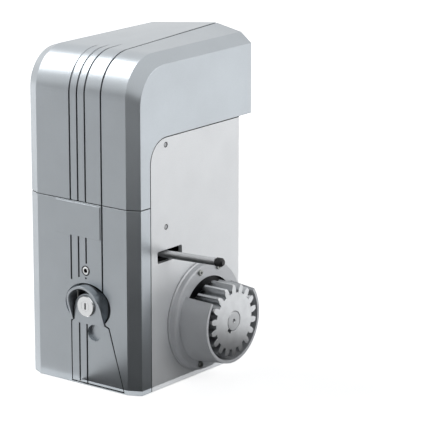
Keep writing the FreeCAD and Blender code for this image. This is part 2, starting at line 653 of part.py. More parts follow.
def cast_case():
    """Cast tub with cheeks, foot plate, wheel chamber, worm barrel and output boss."""
    made = body("gearbox_housing")
    edge = "(seam_front - seam_gap/2)"
    top = "(seam_top - seam_gap/2)"
    outer = "body_width/2"
    inner = "(body_width/2 - case_wall)"
    plan = sketch(made, "XY_Plane")
    outline(plan, [
        ("-" + outer, "-" + edge), ("-" + inner, "-" + edge),
        ("-" + inner, "case_rear - case_wall"), (inner, "case_rear - case_wall"),
        (inner, "-" + edge), (outer, "-" + edge),
        (outer, "case_rear - case_corner"),
        ("%s - case_corner" % outer, "case_rear", "case_corner"),
        ("-%s + case_corner" % outer, "case_rear"),
        ("-" + outer, "case_rear - case_corner", "case_corner")])
    pad(made, plan, top)
    soften(made, lambda spot: abs(spot.y + number(edge)) < 0.01 and abs(spot.z - number(top)) < 0.01,
           "seam_corner - seam_gap")
    foot = sketch(made, "XY_Plane")
    outline(foot, [
        ("-" + inner, "-" + edge), ("-(body_width/2 - bevel_side - 3)", "-base_front"),
        ("body_width/2 - bevel_side - 3", "-base_front"), (inner, "-" + edge),
        (inner, "case_rear - case_wall"), ("-" + inner, "case_rear - case_wall")])
    pad(made, foot, "base_thickness")

    drum = sketch(made, "YZ_Plane", "-motor_side")
    circle(drum, ("output_back", "output_height"), "drum_inner + drum_wall")
    pad(made, drum, "2*(drum_half + drum_wall)", both_ways=True)
    saddle = sketch(made, "YZ_Plane", "-motor_side")
    outline(saddle, [
        ("output_back - saddle_half", "base_thickness/2"), ("output_back + saddle_half", "base_thickness/2"),
        ("output_back + saddle_half", "output_height - 30"),
        ("output_back - saddle_half", "output_height - 30")])
    pad(made, saddle, "2*(drum_half + drum_wall)", both_ways=True)
    boss = sketch(made, "YZ_Plane", "0")
    circle(boss, ("output_back", "output_height"), "boss_radius")
    pad(made, boss, inner)
    rib = sketch(made, "YZ_Plane", "0")
    outline(rib, [
        ("output_back - rib_half", "base_thickness/2"), ("output_back + rib_half", "base_thickness/2"),
        ("output_back + rib_half", "output_height - boss_radius/2"),
        ("output_back - rib_half", "output_height - boss_radius/2")])
    pad(made, rib, inner)
    barrel = sketch(made, "XY_Plane", "base_thickness/2")
    circle(barrel, ("-motor_side", WORM_Y), "barrel_radius")
    pad(made, barrel, "flange_height - flange_plate - base_thickness/2")
    flange = sketch(made, "XY_Plane", "flange_height - flange_plate")
    circle(flange, ("-motor_side", WORM_Y), "motor_radius + 3")
    pad(made, flange, "flange_plate")
    lug = sketch(made, "XZ_Plane", LUG_FRONT)
    outline(lug, [
        ("screw_side - 8", "flange_height - lug_plate"),
        ("screw_side + 8", "flange_height - lug_plate"),
        ("screw_side + 8", "screw_height + 6"), ("screw_side - 8", "screw_height + 6")])
    pad(made, lug, "lug_plate", backwards=True)
    lug_foot = sketch(made, "XY_Plane", "flange_height")
    outline(lug_foot, [
        ("screw_side - 8", "-" + LUG_FRONT), ("screw_side + 8", "-" + LUG_FRONT),
        ("screw_side + 8", "-%s + 20" % LUG_FRONT), ("screw_side - 8", "-%s + 20" % LUG_FRONT)])
    pad(made, lug_foot, "lug_plate", backwards=True)
    shelf_feet = sketch(made, "XZ_Plane", "-(case_rear - case_wall - 9)")
    for side in ("-", ""):
        outline(shelf_feet, [
            (side + "44", "flange_height - 8"), (side + "56", "flange_height - 8"),
            (side + "56", "flange_height"), (side + "44", "flange_height")])
    pad(made, shelf_feet, "10", backwards=True)

    chamber = sketch(made, "YZ_Plane", "-(motor_side + drum_half + drum_wall)")
    circle(chamber, ("output_back", "output_height"), "drum_inner")
    pocket(made, chamber, "2*drum_half + drum_wall", backwards=True)
    tunnel = sketch(made, "YZ_Plane", "-(motor_side - drum_half) - 1")
    circle(tunnel, ("output_back", "output_height"), "boss_bore")
    pocket(made, tunnel, BEARING_SEAT + " + (motor_side - drum_half) + 1", backwards=True)
    seats = sketch(made, "YZ_Plane", BEARING_SEAT + " - 1")
    circle(seats, ("output_back", "output_height"), "bearing_outer")
    pocket(made, seats, "bearing_inset + 2", backwards=True)
    worm_room = sketch(made, "XY_Plane", "worm_foot")
    circle(worm_room, ("-motor_side", WORM_Y), "worm_bore")
    pocket(made, worm_room, "flange_height - worm_foot + 1", backwards=True)
    foot_seat = sketch(made, "XY_Plane", "worm_foot - worm_bearing_width")
    circle(foot_seat, ("-motor_side", WORM_Y), "worm_bearing_outer")
    pocket(made, foot_seat, "worm_bearing_width + 1", backwards=True)
    window = sketch(made, "XZ_Plane", "-output_back")
    outline(window, [
        ("sleeve_middle - fork_window", "output_height - 7"),
        ("sleeve_middle + fork_window", "output_height - 7"),
        ("sleeve_middle + fork_window", "output_height + 7"),
        ("sleeve_middle - fork_window", "output_height + 7")])
    pocket(made, window, "boss_radius + 5", backwards=True)

    holes = sketch(made, "XY_Plane")
    for side in ("-", ""):
        for depth in ("-", ""):
            circle(holes, (side + "bolt_span_side/2", depth + "bolt_span_depth/2"), "bolt_hole/2")
    circle(holes, ("cable_side", "cable_back"), "cable_hole/2")
    pocket(made, holes, "base_thickness + 5", backwards=True)
    notch = sketch(made, "XY_Plane")
    outline(notch, [
        ("door_left - 3", "-base_front - 1"), ("door_left + 2*hinge_side", "-base_front - 1"),
        ("door_left + 2*hinge_side", "-base_front + 6"), ("door_left - 3", "-base_front + 6")])
    pocket(made, notch, "base_thickness + 2", backwards=True)
    post = sketch(made, "XY_Plane")
    circle(post, ("release_pivot_side", "-release_pivot_front"), "3")
    pocket(made, post, "base_thickness + 2", backwards=True)
    drain = sketch(made, "XZ_Plane", "-(output_back + drum_inner/2)")
    circle(drain, ("-motor_side", "output_height"), "4")
    pocket(made, drain, "drum_inner/2 + drum_wall + 1")
    slot = sketch(made, "YZ_Plane", "body_width/2 - case_wall - 2")
    outline(slot, [
        ("-slot_front", "slot_low + 2"), ("-slot_front + 2", "slot_low", "2"),
        ("-slot_back - 2", "slot_low"), ("-slot_back", "slot_low + 2", "2"),
        ("-slot_back", "slot_high - 2"), ("-slot_back - 2", "slot_high", "2"),
        ("-slot_front + 2", "slot_high"), ("-slot_front", "slot_high - 2", "2")])
    pocket(made, slot, "case_wall + 4", backwards=True)
    plugs = sketch(made, "YZ_Plane", "body_width/2 - case_wall - 2")
    for height in PLUG_HEIGHTS:
        circle(plugs, ("-plug_front", height), "plug_radius")
    pocket(made, plugs, "case_wall + 4", backwards=True)
    threads = sketch(made, "YZ_Plane", "body_width/2 - case_wall - 2")
    for across, up in guard_screw_places():
        circle(threads, ("output_back + " + across, "output_height + " + up), "guard_thread")
    pocket(made, threads, "case_wall + 4", backwards=True)
    cover_threads = sketch(made, "YZ_Plane", "%s - %s" % (CHAMBER_FACE, CHAMBER_COVER_RIM))
    for across, up in chamber_screw_places():
        circle(cover_threads, ("output_back + " + across, "output_height + " + up), "chamber_thread")
    pocket(made, cover_threads, "chamber_screw + 0.5", backwards=True)
    screw_hole = sketch(made, "XZ_Plane", LUG_FRONT)
    circle(screw_hole, ("screw_side", "screw_height"), "cover_thread")
    pocket(made, screw_hole, "lug_plate + 1")
    keep(made, "gearbox_housing")


WORM_Y = "(output_back - wheel_teeth*wheel_module/2 - worm_pitch_radius)"
LUG_FRONT = "(front_reach - 2*cover_wall - 2*fit_gap)"
LUG_DEPTH = "(2*cover_wall + lug_plate)"
PLUG_HEIGHTS = ("plug_low", "plug_high")


def on_ring(radius, angle):
    """Point on a ring round the output axis, backwards and up from it."""
    return ("(%s)*cos(%s)" % (radius, angle), "(%s)*sin(%s)" % (radius, angle))


def guard_screw_places():
    """Centres of the four guard screws, a pair above and a pair below the output axis."""
    above = ["90 %s guard_screw_angle" % sign for sign in "-+"]
    below = ["%s + 180" % angle for angle in above]
    return [on_ring("guard_screw_ring", angle) for angle in above + below]


def chamber_screw_places():
    """Centres of the six screws of the wheel chamber's cover."""
    return [on_ring("drum_inner + drum_wall/2", "%d" % (30 + 60 * step)) for step in range(6)]


OUTPUT = ("0", "output_back", "output_height")
BEARING_SEAT = "(body_width/2 - bearing_inset)"
CHAMBER_FACE = "-(motor_side + drum_half + drum_wall)"
CHAMBER_COVER_RIM = "4.5"
MOTOR = ("-motor_side", WORM_Y, "0")
STATOR_LOW = "(flange_height + rotor_low)"
STATOR_TOP = "(flange_height + rotor_low + stator_height)"
END_SHIELD_BEARING = "(flange_height + rotor_low + stator_height + 8)"
TIE_PLACE = "((motor_radius - 3)*0.7071)"
TIE_SCREW = "1.6"
MOTOR_TOP = "(flange_height + rotor_low + stator_height + 40)"


def bearing(label, inner, outer, low, high, at, turn=UPRIGHT):
    """Ball bearing as one ring, its covers sunk between the two races."""
    sink = "0.8"
    third = "(%s - %s)*0.3" % (outer, inner)
    profile = [(inner, low), ("%s + %s" % (inner, third), low),
               ("%s + %s" % (inner, third), "%s + %s" % (low, sink)),
               ("%s - %s" % (outer, third), "%s + %s" % (low, sink)),
               ("%s - %s" % (outer, third), low), (outer, low), (outer, high),
               ("%s - %s" % (outer, third), high),
               ("%s - %s" % (outer, third), "%s - %s" % (high, sink)),
               ("%s + %s" % (inner, third), "%s - %s" % (high, sink)),
               ("%s + %s" % (inner, third), high), (inner, high)]
    keep(turned(label, profile, at, turn), label)


def gearbox_closures():
    """Left cover of the wheel chamber with its bearing and screws, and the right bearing."""
    face = CHAMBER_FACE
    rim = "%s - %s" % (face, CHAMBER_COVER_RIM)
    cover = turned("gearbox_cover", [
        ("12", face + " - 17"), ("21 + drum_wall", face + " - 17"), ("21 + drum_wall", face + " - 5"),
        ("drum_inner - 1", rim), ("drum_inner + drum_wall", rim), ("drum_inner + drum_wall", face),
        ("21", face), ("21", face + " - 13"), ("12", face + " - 13")], OUTPUT, TO_X)
    beside_barrel = sketch(cover, "YZ_Plane")
    worm_side = (WORM_Y + " - output_back", "-motor_side")
    circle(beside_barrel, worm_side, "barrel_radius + fit_gap")
    pocket(cover, beside_barrel, "2*drum_inner + 2*drum_wall + 4", both_ways=True)
    under_flange = sketch(cover, "YZ_Plane", "output_height - flange_height + flange_plate + fit_gap")
    circle(under_flange, worm_side, "motor_radius + 3 + fit_gap")
    pocket(cover, under_flange, "drum_inner")
    holes = sketch(cover, "XY_Plane", face + " + 1")
    for across, up in chamber_screw_places():
        circle(holes, ("-" + up, across), "chamber_thread + 0.2")
    pocket(cover, holes, CHAMBER_COVER_RIM + " + 2")
    keep(cover, "gearbox_cover")
    screws = [screw("chamber_screw", (rim, "output_back + " + across, "output_height + " + up),
                    TO_X * DOWNWARD, "2.6", "2.4", "chamber_thread", "chamber_screw", "1.2")
              for across, up in chamber_screw_places()]
    keep(bundle("gearbox_cover_screws", screws), "gearbox_cover_screws")
    bearing("output_bearing_left", "10 + running_gap", "21", face + " - 13", face + " - 1",
            OUTPUT, TO_X)
    bearing("output_bearing_right", "shaft_journal + running_gap", "bearing_outer",
            BEARING_SEAT, BEARING_SEAT + " + bearing_width", OUTPUT, TO_X)
    seal_start = "(%s + bearing_width + 0.2)" % BEARING_SEAT
    seal_end = "(body_width/2 + 1)"
    seal = turned("shaft_seal", [
        ("shaft_journal + running_gap", seal_start), ("bearing_outer", seal_start),
        ("bearing_outer", seal_end),
        ("bearing_outer - 3", seal_end), ("bearing_outer - 4", seal_end + " - 2"),
        ("shaft_journal + 4", seal_end + " - 2"), ("shaft_journal + 2", seal_end + " + 1"),
        ("shaft_journal + running_gap", seal_end + " + 1")], OUTPUT, TO_X)
    keep(seal, "shaft_seal")


def involute_angle(degrees):
    """Involute function of a pressure angle, in degrees."""
    return "(tan(%s)*180/pi - (%s))" % (degrees, degrees)


def tooth_gap(made, module, teeth, extra):
    """Gap between two involute teeth, centred on the sketch's vertical axis."""
    pitch = "(%s*%s/2)" % (module, teeth)
    base = "(%s*cos(20))" % pitch
    root = "(%s - 1.25*%s)" % (pitch, module)
    tip = "(%s + %s)" % (pitch, module)
    tip_slope = "(acos(%s/%s)/1deg)" % (base, tip)
    narrow = "(90/%s - %s + %s)" % (teeth, involute_angle("20"), extra)
    wide = "(%s + %s)" % (narrow, involute_angle(tip_slope))
    foot = "(max(%s; %s))" % (root, base)
    flank = "(%s*sin(20)*1.15)" % pitch

    def spot(radius, angle):
        return ("-(%s)*sin(%s)" % (radius, angle), "(%s)*cos(%s)" % (radius, angle))

    outline(made, [
        spot(root, narrow) + (root,),
        spot(foot, narrow),
        spot(tip, wide) + (flank,),
        spot(tip + " + " + module, wide),
        spot(tip + " + " + module, "-" + wide),
        spot(tip, "-" + wide),
        spot(foot, "-" + narrow) + (flank,),
        spot(root, "-" + narrow)])


def axial_rectangle(made, inner, outer, half, angle):
    """Rectangle that runs outwards from an axis, turned to an angle."""
    def spot(along, across):
        return ("(%s)*cos(%s) - (%s)*sin(%s)" % (along, angle, across, angle),
                "(%s)*sin(%s) + (%s)*cos(%s)" % (along, angle, across, angle))

    outline(made, [spot(inner, "-" + half), spot(outer, "-" + half),
                   spot(outer, half), spot(inner, half)])


def output_drive():
    """Output shaft, its keys and the rack pinion with eighteen involute teeth."""
    face = "(body_width/2 + pinion_reach)"
    back = "(%s - pinion_width)" % face
    left = "-(motor_side + drum_half + drum_wall)"
    shaft = turned("output_shaft", [
        ("0", left + " - 12"), ("10", left + " - 12"), ("10", left + " - 0.5"),
        ("shaft_journal", left + " - 0.5"), ("shaft_journal", "body_width/2 + 2.2"),
        ("shaft_journal + 3", "body_width/2 + 2.2"), ("shaft_journal + 3", back),
        ("shaft_end", back), ("shaft_end", face + " - 0.8"), ("shaft_end - 0.8", face),
        ("2.2", face), ("0", face + " - 4")], OUTPUT, TO_X)
    seat = sketch(shaft, "XY_Plane", back + " + 3")
    axial_rectangle(seat, "shaft_end - 3.5", "shaft_end + 2", "key_width/2", "(key_angle + 90)")
    pocket(shaft, seat, "pinion_width - 8", backwards=True)
    slide = sketch(shaft, "XY_Plane", "hub_radius/4")
    axial_rectangle(slide, "shaft_journal - 3", "shaft_journal + 2", "key_width/2", "90")
    pocket(shaft, slide, "28", backwards=True)
    keep(shaft, "output_shaft")

    key = body("pinion_key")
    shape = sketch(key, "XY_Plane", back + " + 3")
    axial_rectangle(shape, "shaft_end - 3.5", "shaft_end + key_rise", "key_width/2", "(key_angle + 90)")
    pad(key, shape, "pinion_width - 8")
    place(key, OUTPUT, TO_X)
    keep(key, "pinion_key")

    pinion = body("pinion")
    blank = sketch(pinion, "XY_Plane", back)
    circle(blank, ("0", "0"), "pinion_module*(pinion_teeth/2 + 1)")
    pad(pinion, blank, "pinion_width")
    for end, sign in ((back, "+"), (face, "-")):
        edge = sketch(pinion, "XZ_Plane")
        tip = "pinion_module*(pinion_teeth/2 + 1)"
        outline(edge, [("%s - pinion_dish" % tip, end), ("%s + 1" % tip, end),
                       ("%s + 1" % tip, "%s %s (pinion_dish + 1)" % (end, sign))])
        revolve(pinion, edge, cut=True)
    gap = sketch(pinion, "XY_Plane", back + " - 1")
    tooth_gap(gap, "pinion_module", "pinion_teeth", "0")
    around(pinion, pocket(pinion, gap, "pinion_width + 2", backwards=True), "pinion_teeth")
    bore = sketch(pinion, "XY_Plane", back + " - 1")
    circle(bore, ("0", "0"), "shaft_end + running_gap")
    pocket(pinion, bore, "pinion_width + 2", backwards=True)
    keyway = sketch(pinion, "XY_Plane", back + " - 1")
    axial_rectangle(keyway, "shaft_end/2", "shaft_end + key_rise + running_gap",
                    "(key_width/2 + running_gap)", "(key_angle + 90)")
    pocket(pinion, keyway, "pinion_width + 2", backwards=True)
    place(pinion, OUTPUT, TO_X)
    keep(pinion, "pinion")


def pinion_guard():
    """Flange with its stepped rim and the open-topped shroud round the pinion."""
    side = "body_width/2"
    hollow = "guard_rim - guard_wall"
    made = turned("pinion_guard", [
        ("bearing_outer + 3", side), ("guard_base", side), ("guard_base", side + " + 1.6"),
        ("guard_base - 1.5", side + " + 2.4"), ("guard_face + 0.8", side + " + guard_step - 1.2"),
        ("guard_face - 0.6", side + " + guard_step"), ("guard_root + 0.4", side + " + guard_step"),
        ("guard_root", side + " + guard_step + 1"), ("guard_rim", side + " + guard_reach"),
        (hollow, side + " + guard_reach"), (hollow, side + " + guard_step/2"),
        ("bearing_outer + 3", side + " + guard_step/2 - 1")], OUTPUT, TO_X)
    wedge = sketch(made, "XY_Plane", side + " + guard_step")
    reach = "(guard_base + 25)"
    outline(wedge, [("0", "0"),
                    ("-%s*cos(guard_opening/2)" % reach, "%s*sin(guard_opening/2)" % reach),
                    ("-%s*cos(guard_opening/2)" % reach, "-%s*sin(guard_opening/2)" % reach)])
    pocket(made, wedge, "guard_reach", backwards=True)
    holes = sketch(made, "XY_Plane", side)
    for across, up in guard_screw_places():
        circle(holes, ("-" + up, across), "guard_thread + 0.2")
    pocket(made, holes, "guard_step + 1", backwards=True)
    keep(made, "pinion_guard")
    screws = [screw("guard_screw",
                    (side + " + guard_step", "output_back + " + across, "output_height + " + up), TO_X,
                    "3.2", "2.6", "guard_thread", "guard_step + case_wall", "1.6")
              for across, up in guard_screw_places()]
    keep(bundle("guard_screws", screws), "guard_screws")
    clip = ring("bearing_circlip", "bearing_outer - 2", "bearing_outer + 2.8",
                side + " + 1.1", side + " + 2.4", OUTPUT, TO_X)
    keep(clip, "bearing_circlip")


def worm_gear():
    """Worm wheel with its hub and claws, the sliding sleeve and the worm."""
    left = "-(motor_side + wheel_width/2)"
    right = "-(motor_side - wheel_width/2)"
    hub_end = "2"
    wheel = body("worm_wheel")
    blank = sketch(wheel, "XY_Plane", left)
    circle(blank, ("0", "0"), "wheel_module*(wheel_teeth/2 + 1)")
    pad(wheel, blank, "wheel_width")
    gap = sketch(wheel, "XY_Plane", left + " - 1")
    tooth_gap(gap, "wheel_module", "wheel_teeth", "0.9")
    around(wheel, pocket(wheel, gap, "wheel_width + 2", backwards=True), "wheel_teeth")
    hub = sketch(wheel, "XY_Plane", left)
    circle(hub, ("0", "0"), "hub_radius")
    pad(wheel, hub, "%s - %s" % (hub_end, left))
    web = sketch(wheel, "XZ_Plane")
    outline(web, [("hub_radius + 2", right + " + 1"), ("hub_radius + 2", right + " - 4"),
                  ("wheel_module*wheel_teeth/2 - 7", right + " - 4"),
                  ("wheel_module*wheel_teeth/2 - 5", right + " + 1")])
    revolve(wheel, web, cut=True)
    bore = sketch(wheel, "XY_Plane", left + " - 1")
    circle(bore, ("0", "0"), "shaft_journal + running_gap")
    pocket(wheel, bore, "wheel_width + 30", backwards=True)
    claw = sketch(wheel, "XY_Plane", "%s - claw_length" % hub_end)
    axial_rectangle(claw, "shaft_journal", "hub_radius + 2", "(key_width/2 + 0.3)", "45")
    around(wheel, pocket(wheel, claw, "claw_length + 1", backwards=True), "4")
    place(wheel, OUTPUT, TO_X)
    keep(wheel, "worm_wheel")

    sleeve = turned("clutch_sleeve", [
        ("shaft_journal + running_gap", hub_end + " + 0.4"), ("sleeve_radius - 1", hub_end + " + 0.4"),
        ("sleeve_radius - 1", "sleeve_middle - 5"), ("sleeve_radius", "sleeve_middle - 5"),
        ("sleeve_radius", "sleeve_middle - 3"), ("sleeve_groove", "sleeve_middle - 3"),
        ("sleeve_groove", "sleeve_middle + 3"), ("sleeve_radius", "sleeve_middle + 3"),
        ("sleeve_radius", "sleeve_middle + 7"), ("shaft_journal + running_gap", "sleeve_middle + 7")],
        OUTPUT, TO_X)
    claws = sketch(sleeve, "XY_Plane", "%s - claw_length + 0.4" % hub_end)
    axial_rectangle(claws, "shaft_journal + 2.4", "hub_radius - 0.5", "key_width/2", "45")
    grip = pad(sleeve, claws, "claw_length + 2")
    around(sleeve, grip, "4")
    way = sketch(sleeve, "XY_Plane", hub_end)
    axial_rectangle(way, "shaft_journal/2", "shaft_journal + 2.5", "(key_width/2 + running_gap)", "90")
    pocket(sleeve, way, "30", backwards=True)
    keep(sleeve, "clutch_sleeve")
    key = body("clutch_key")
    shape = sketch(key, "XY_Plane", "hub_radius/4")
    axial_rectangle(shape, "shaft_journal - 3", "shaft_journal + 2", "key_width/2", "90")
    pad(key, shape, "28")
    place(key, OUTPUT, TO_X)
    keep(key, "clutch_key")

    worm = turned("worm_shaft", [
        ("0", "worm_foot - worm_bearing_width"), ("7.5", "worm_foot - worm_bearing_width"),
        ("7.5", "worm_foot"), ("worm_pitch_radius - 1.25*wheel_module", "worm_foot + 3"),
        ("worm_pitch_radius - 1.25*wheel_module", "flange_height - flange_plate - 14"),
        ("8.5", "flange_height - flange_plate - 12.2"), ("8.5", END_SHIELD_BEARING),
        ("7.5", END_SHIELD_BEARING), ("7.5", MOTOR_TOP), ("0", MOTOR_TOP)],
        MOTOR)
    thread = sketch(worm, "YZ_Plane")
    lead = "(pi*wheel_module)"
    middle = "(output_height - 3*%s)" % lead
    inner = "(worm_pitch_radius - 1.25*wheel_module - 0.5)"
    outer = "(worm_pitch_radius + wheel_module)"
    root_half = "(wheel_module*0.88)"
    tip_half = "(wheel_module*0.24)"
    outline(thread, [(inner, "%s - %s" % (middle, root_half)), (outer, "%s - %s" % (middle, tip_half)),
                     (outer, "%s + %s" % (middle, tip_half)), (inner, "%s + %s" % (middle, root_half))])
    helix = worm.newObject("PartDesign::AdditiveHelix", "Thread")
    helix.Profile = thread
    helix.ReferenceAxis = (thread, ["V_Axis"])
    helix.Mode = "pitch-turns-angle"
    bind(helix, "Pitch", lead)
    helix.Turns = 6
    keep(worm, "worm_shaft")
    bearing("worm_bearing_lower", "7.5 + running_gap", "worm_bearing_outer",
            "worm_foot - worm_bearing_width", "worm_foot", MOTOR)
    bearing("worm_bearing_upper", "8.5 + running_gap", "worm_bore",
            "flange_height - flange_plate - 12", "flange_height - flange_plate", MOTOR)


# ---------------------------------------------------------------- release and lock

def lever_point(share, offset="0"):
    """Where the door stud stands in the release lever after a share of the door swing."""
    turn = "(lobe_start - (%s)*door_swing)" % share
    lean = "((%s)*lever_swing)" % share
    side = "(door_left + hinge_side - lobe_length*sin%s - release_pivot_side)" % turn
    back = "(lobe_length*cos%s - front_reach + hinge_depth + release_pivot_front)" % turn
    return ("release_pivot_side + %s*cos%s - %s*sin%s" % (side, lean, back, lean),
            "%s*sin%s + %s*cos%s - release_pivot_front + (%s)" % (side, lean, back, lean, offset))


def lever_band(half):
    """Band of a given half width along the way of the door stud."""
    shares = ["0", "0.25", "0.5", "0.75", "1"]
    near = [lever_point(share, "-(%s)" % half) for share in shares]
    far = [lever_point(share, half) for share in reversed(shares)]
    left_x, left_y = near[0]
    right_x, right_y = near[-1]
    return ([("%s - (%s)" % (left_x, half), left_y)] + near
            + [("%s + (%s)" % (right_x, half), right_y), ("%s + (%s)" % (far[0][0], half), far[0][1])]
            + far + [("%s - (%s)" % (far[-1][0], half), far[-1][1])])


def bar(owner, plane_offset, start, end, half, thickness):
    """Straight flat bar between two points of the ground plane."""
    (ax, ay), (bx, by) = start, end
    span = "sqrt((%s - (%s))^2 + (%s - (%s))^2)" % (bx, ax, by, ay)
    nx = "((%s - (%s))/%s*(%s))" % (by, ay, span, half)
    ny = "((%s - (%s))/%s*(%s))" % (bx, ax, span, half)
    made = sketch(owner, "XY_Plane", plane_offset)
    outline(made, [
        ("%s + %s" % (ax, nx), "%s - %s" % (ay, ny)), ("%s + %s" % (bx, nx), "%s - %s" % (by, ny)),
        ("%s - %s" % (bx, nx), "%s + %s" % (by, ny)), ("%s - %s" % (ax, nx), "%s + %s" % (ay, ny))])
    pad(owner, made, thickness)


def release_gear():
    """Release lever that moves the clutch sleeve, with its post and the stud on the door."""
    low = "output_height - fork_plate/2"
    pivot = ("release_pivot_side", "-release_pivot_front")
    finger = ("sleeve_middle", "output_back - sleeve_groove - 0.4 - fork_plate")
    lever = body("release_lever")
    plate = sketch(lever, "XY_Plane", low)
    outline(plate, lever_band("4.6"))
    pad(lever, plate, "fork_plate")
    bar(lever, low, lever_point("0.75"), pivot, "4", "fork_plate")
    bar(lever, low, pivot, finger, "fork_plate - 0.4", "fork_plate")
    hub = sketch(lever, "XY_Plane", low)
    circle(hub, pivot, "7")
    pad(lever, hub, "fork_plate + 4")
    tip = sketch(lever, "XY_Plane", low)
    circle(tip, finger, "fork_plate")
    pad(lever, tip, "fork_plate")
    way = sketch(lever, "XY_Plane", low + " - 1")
    outline(way, lever_band("2.4"))
    pocket(lever, way, "fork_plate + 2", backwards=True)
    bore = sketch(lever, "XY_Plane", low + " - 1")
    circle(bore, pivot, "3 + running_gap")
    pocket(lever, bore, "fork_plate + 8", backwards=True)
    keep(lever, "release_lever")
    top = low + " + fork_plate + 4"
    keep(turned("release_post", [
        ("0", "0.5"), ("3", "0.5"), ("3", "base_thickness"), ("7", "base_thickness"),
        ("7", "base_thickness + 4"), ("5", "base_thickness + 6"), ("5", low + " - 0.4"),
        ("3", low + " - 0.4"), ("3", top + " + 3.6"), ("0", top + " + 3.6")],
        pivot + ("0",)), "release_post")

    stud_low = low + " - 8"
    cam = body("door_cam")
    foot = ("door_left + hinge_side + 2", "-(front_reach - door_thickness - 4)")
    bar(cam, stud_low, lever_point("0"), foot, "3.6", "3")
    root = sketch(cam, "XY_Plane", stud_low + " - 5")
    outline(root, [("door_left + 3", "-(front_reach - door_thickness)"),
                   ("door_left + 2*hinge_side + 3", "-(front_reach - door_thickness)"),
                   ("door_left + 2*hinge_side + 3", "-(front_reach - door_thickness - 1.6)"),
                   ("door_left + 3", "-(front_reach - door_thickness - 1.6)")])
    pad(cam, root, "11")
    web = sketch(cam, "XY_Plane", stud_low)
    outline(web, [("door_left + hinge_side - 3", "-(front_reach - door_thickness - 1)"),
                  ("door_left + hinge_side + 6", "-(front_reach - door_thickness - 1)"),
                  ("door_left + hinge_side + 6", "-(front_reach - door_thickness - 6)"),
                  ("door_left + hinge_side - 3", "-(front_reach - door_thickness - 6)")])
    pad(cam, web, "3")
    stud = sketch(cam, "XY_Plane", stud_low)
    circle(stud, lever_point("0"), "2")
    pad(cam, stud, "8 + fork_plate + 1.5")
    keep(cam, "door_cam")


LOCK = ("lock_side", "-front_reach", "lock_height")


def release_door():
    """Door with its grooves and finger recess, its hinge pins, and the lock in it."""
    inner = "front_reach - door_thickness"
    door = body("release_door")
    plate = sketch(door, "XZ_Plane", inner)
    door_outline(plate, "0", "door_arch_drop")
    pad(door, plate, "door_thickness")
    cup = sketch(door, "XZ_Plane", "front_reach - recess_depth - 1.5")
    circle(cup, ("recess_side", "recess_height"), "recess_radius + 1.5")
    pad(door, cup, "recess_depth - door_thickness/2 + 1.5")
    dish = sketch(door, "XZ_Plane", "front_reach")
    circle(dish, ("recess_side", "recess_height"), "recess_radius")
    pocket(door, dish, "recess_depth")
    for step in (0, 1):
        front_groove(door, "groove_middle + %d*groove_pitch" % step, "door_foot - 1", "door_shoulder")
    hole = sketch(door, "XZ_Plane", "front_reach")
    circle(hole, ("lock_side", "lock_height"), "lock_radius - 2.7")
    pocket(door, hole, "door_thickness + 1")
    for low, length in (("door_foot - 1", "13"), ("hood_height - 5", "30")):
        pin = sketch(door, "XY_Plane", low)
        circle(pin, HINGE, "hinge_pin + running_gap")
        pocket(door, pin, length, backwards=True)
    keep(door, "release_door")
    pins = [rod("hinge_pin", "hinge_pin", low, high, HINGE + ("0",)) for low, high in (
        ("0.2", "door_foot + 11"), ("hood_height - 4", "hood_height + hood_radius - 7.5"))]
    keep(bundle("door_hinge_pins", pins), "door_hinge_pins")

    barrel = turned("lock_barrel", [
        ("5.5 + running_gap", "2.2"), ("lock_radius - 1", "2.2"), ("lock_radius", "1.4"),
        ("lock_radius", "0"), ("lock_radius - 2.7", "0"), ("lock_radius - 2.7", "-20"),
        ("5.5 + running_gap", "-20")], LOCK, TO_FRONT)
    keep(barrel, "lock_barrel")
    plug = turned("lock_plug", [
        ("0", "-23"), ("3.5", "-23"), ("3.5", "-20.2"), ("5.5", "-20.2"), ("5.5", "2.2"), ("0", "2.2")],
        LOCK, TO_FRONT)
    way = sketch(plug, "XY_Plane", "3")
    outline(way, [("-0.9", "-3.6"), ("0.9", "-3.6"), ("0.9", "3.6"), ("-0.9", "3.6")])
    pocket(plug, way, "9")
    keep(plug, "lock_plug")
    cam = body("lock_cam")
    plate = sketch(cam, "XZ_Plane", "front_reach - 23")
    outline(plate, [
        ("lock_side - 5", "lock_height + 4"), ("lock_side - 5", "lock_height - 17"),
        ("lock_side + 5", "lock_height - 17"), ("lock_side + 5", "lock_height + 4")])
    pad(cam, plate, "2.6")
    hole = sketch(cam, "XZ_Plane", "front_reach - 10")
    circle(hole, ("lock_side", "lock_height"), "3.5")
    pocket(cam, hole, "20")
    keep(cam, "lock_cam")


def small_fittings():
    """Cover screw, blanking plugs, grommet and drain plug."""
    at = ("screw_side", "-(front_reach - 1.2)", "screw_height")
    keep(screw("cover_screw", at, TO_FRONT, "4.3", "1.6", "cover_thread",
               LUG_DEPTH, "2.4"), "cover_screw")
    keep(ring("cover_screw_ring", "4.4", "5.6", "0", "1", at, TO_FRONT), "cover_screw_ring")
    plugs = [rod("cheek_plug", "plug_radius", "body_width/2 - case_wall", "body_width/2 - 0.5",
                 ("0", "-plug_front", height), TO_X) for height in PLUG_HEIGHTS]
    keep(bundle("cheek_plugs", plugs), "cheek_plugs")
    keep(turned("cable_grommet", [
        ("cable_bore/2", "1"), ("cable_hole/2", "1"), ("cable_hole/2", "base_thickness"),
        ("cable_hole/2 + 2.5", "base_thickness"), ("cable_hole/2 + 2.5", "base_thickness + 2"),
        ("cable_bore/2", "base_thickness + 3.5")], ("cable_side", "cable_back", "0")), "cable_grommet")
    drain = ("-motor_side", "output_back + drum_inner + drum_wall", "output_height")
    keep(screw("drain_plug", drain, TO_FRONT.inverted(), "6.5", "4", "4", "drum_wall", "2.5"), "drain_plug")


# ---------------------------------------------------------------- motor

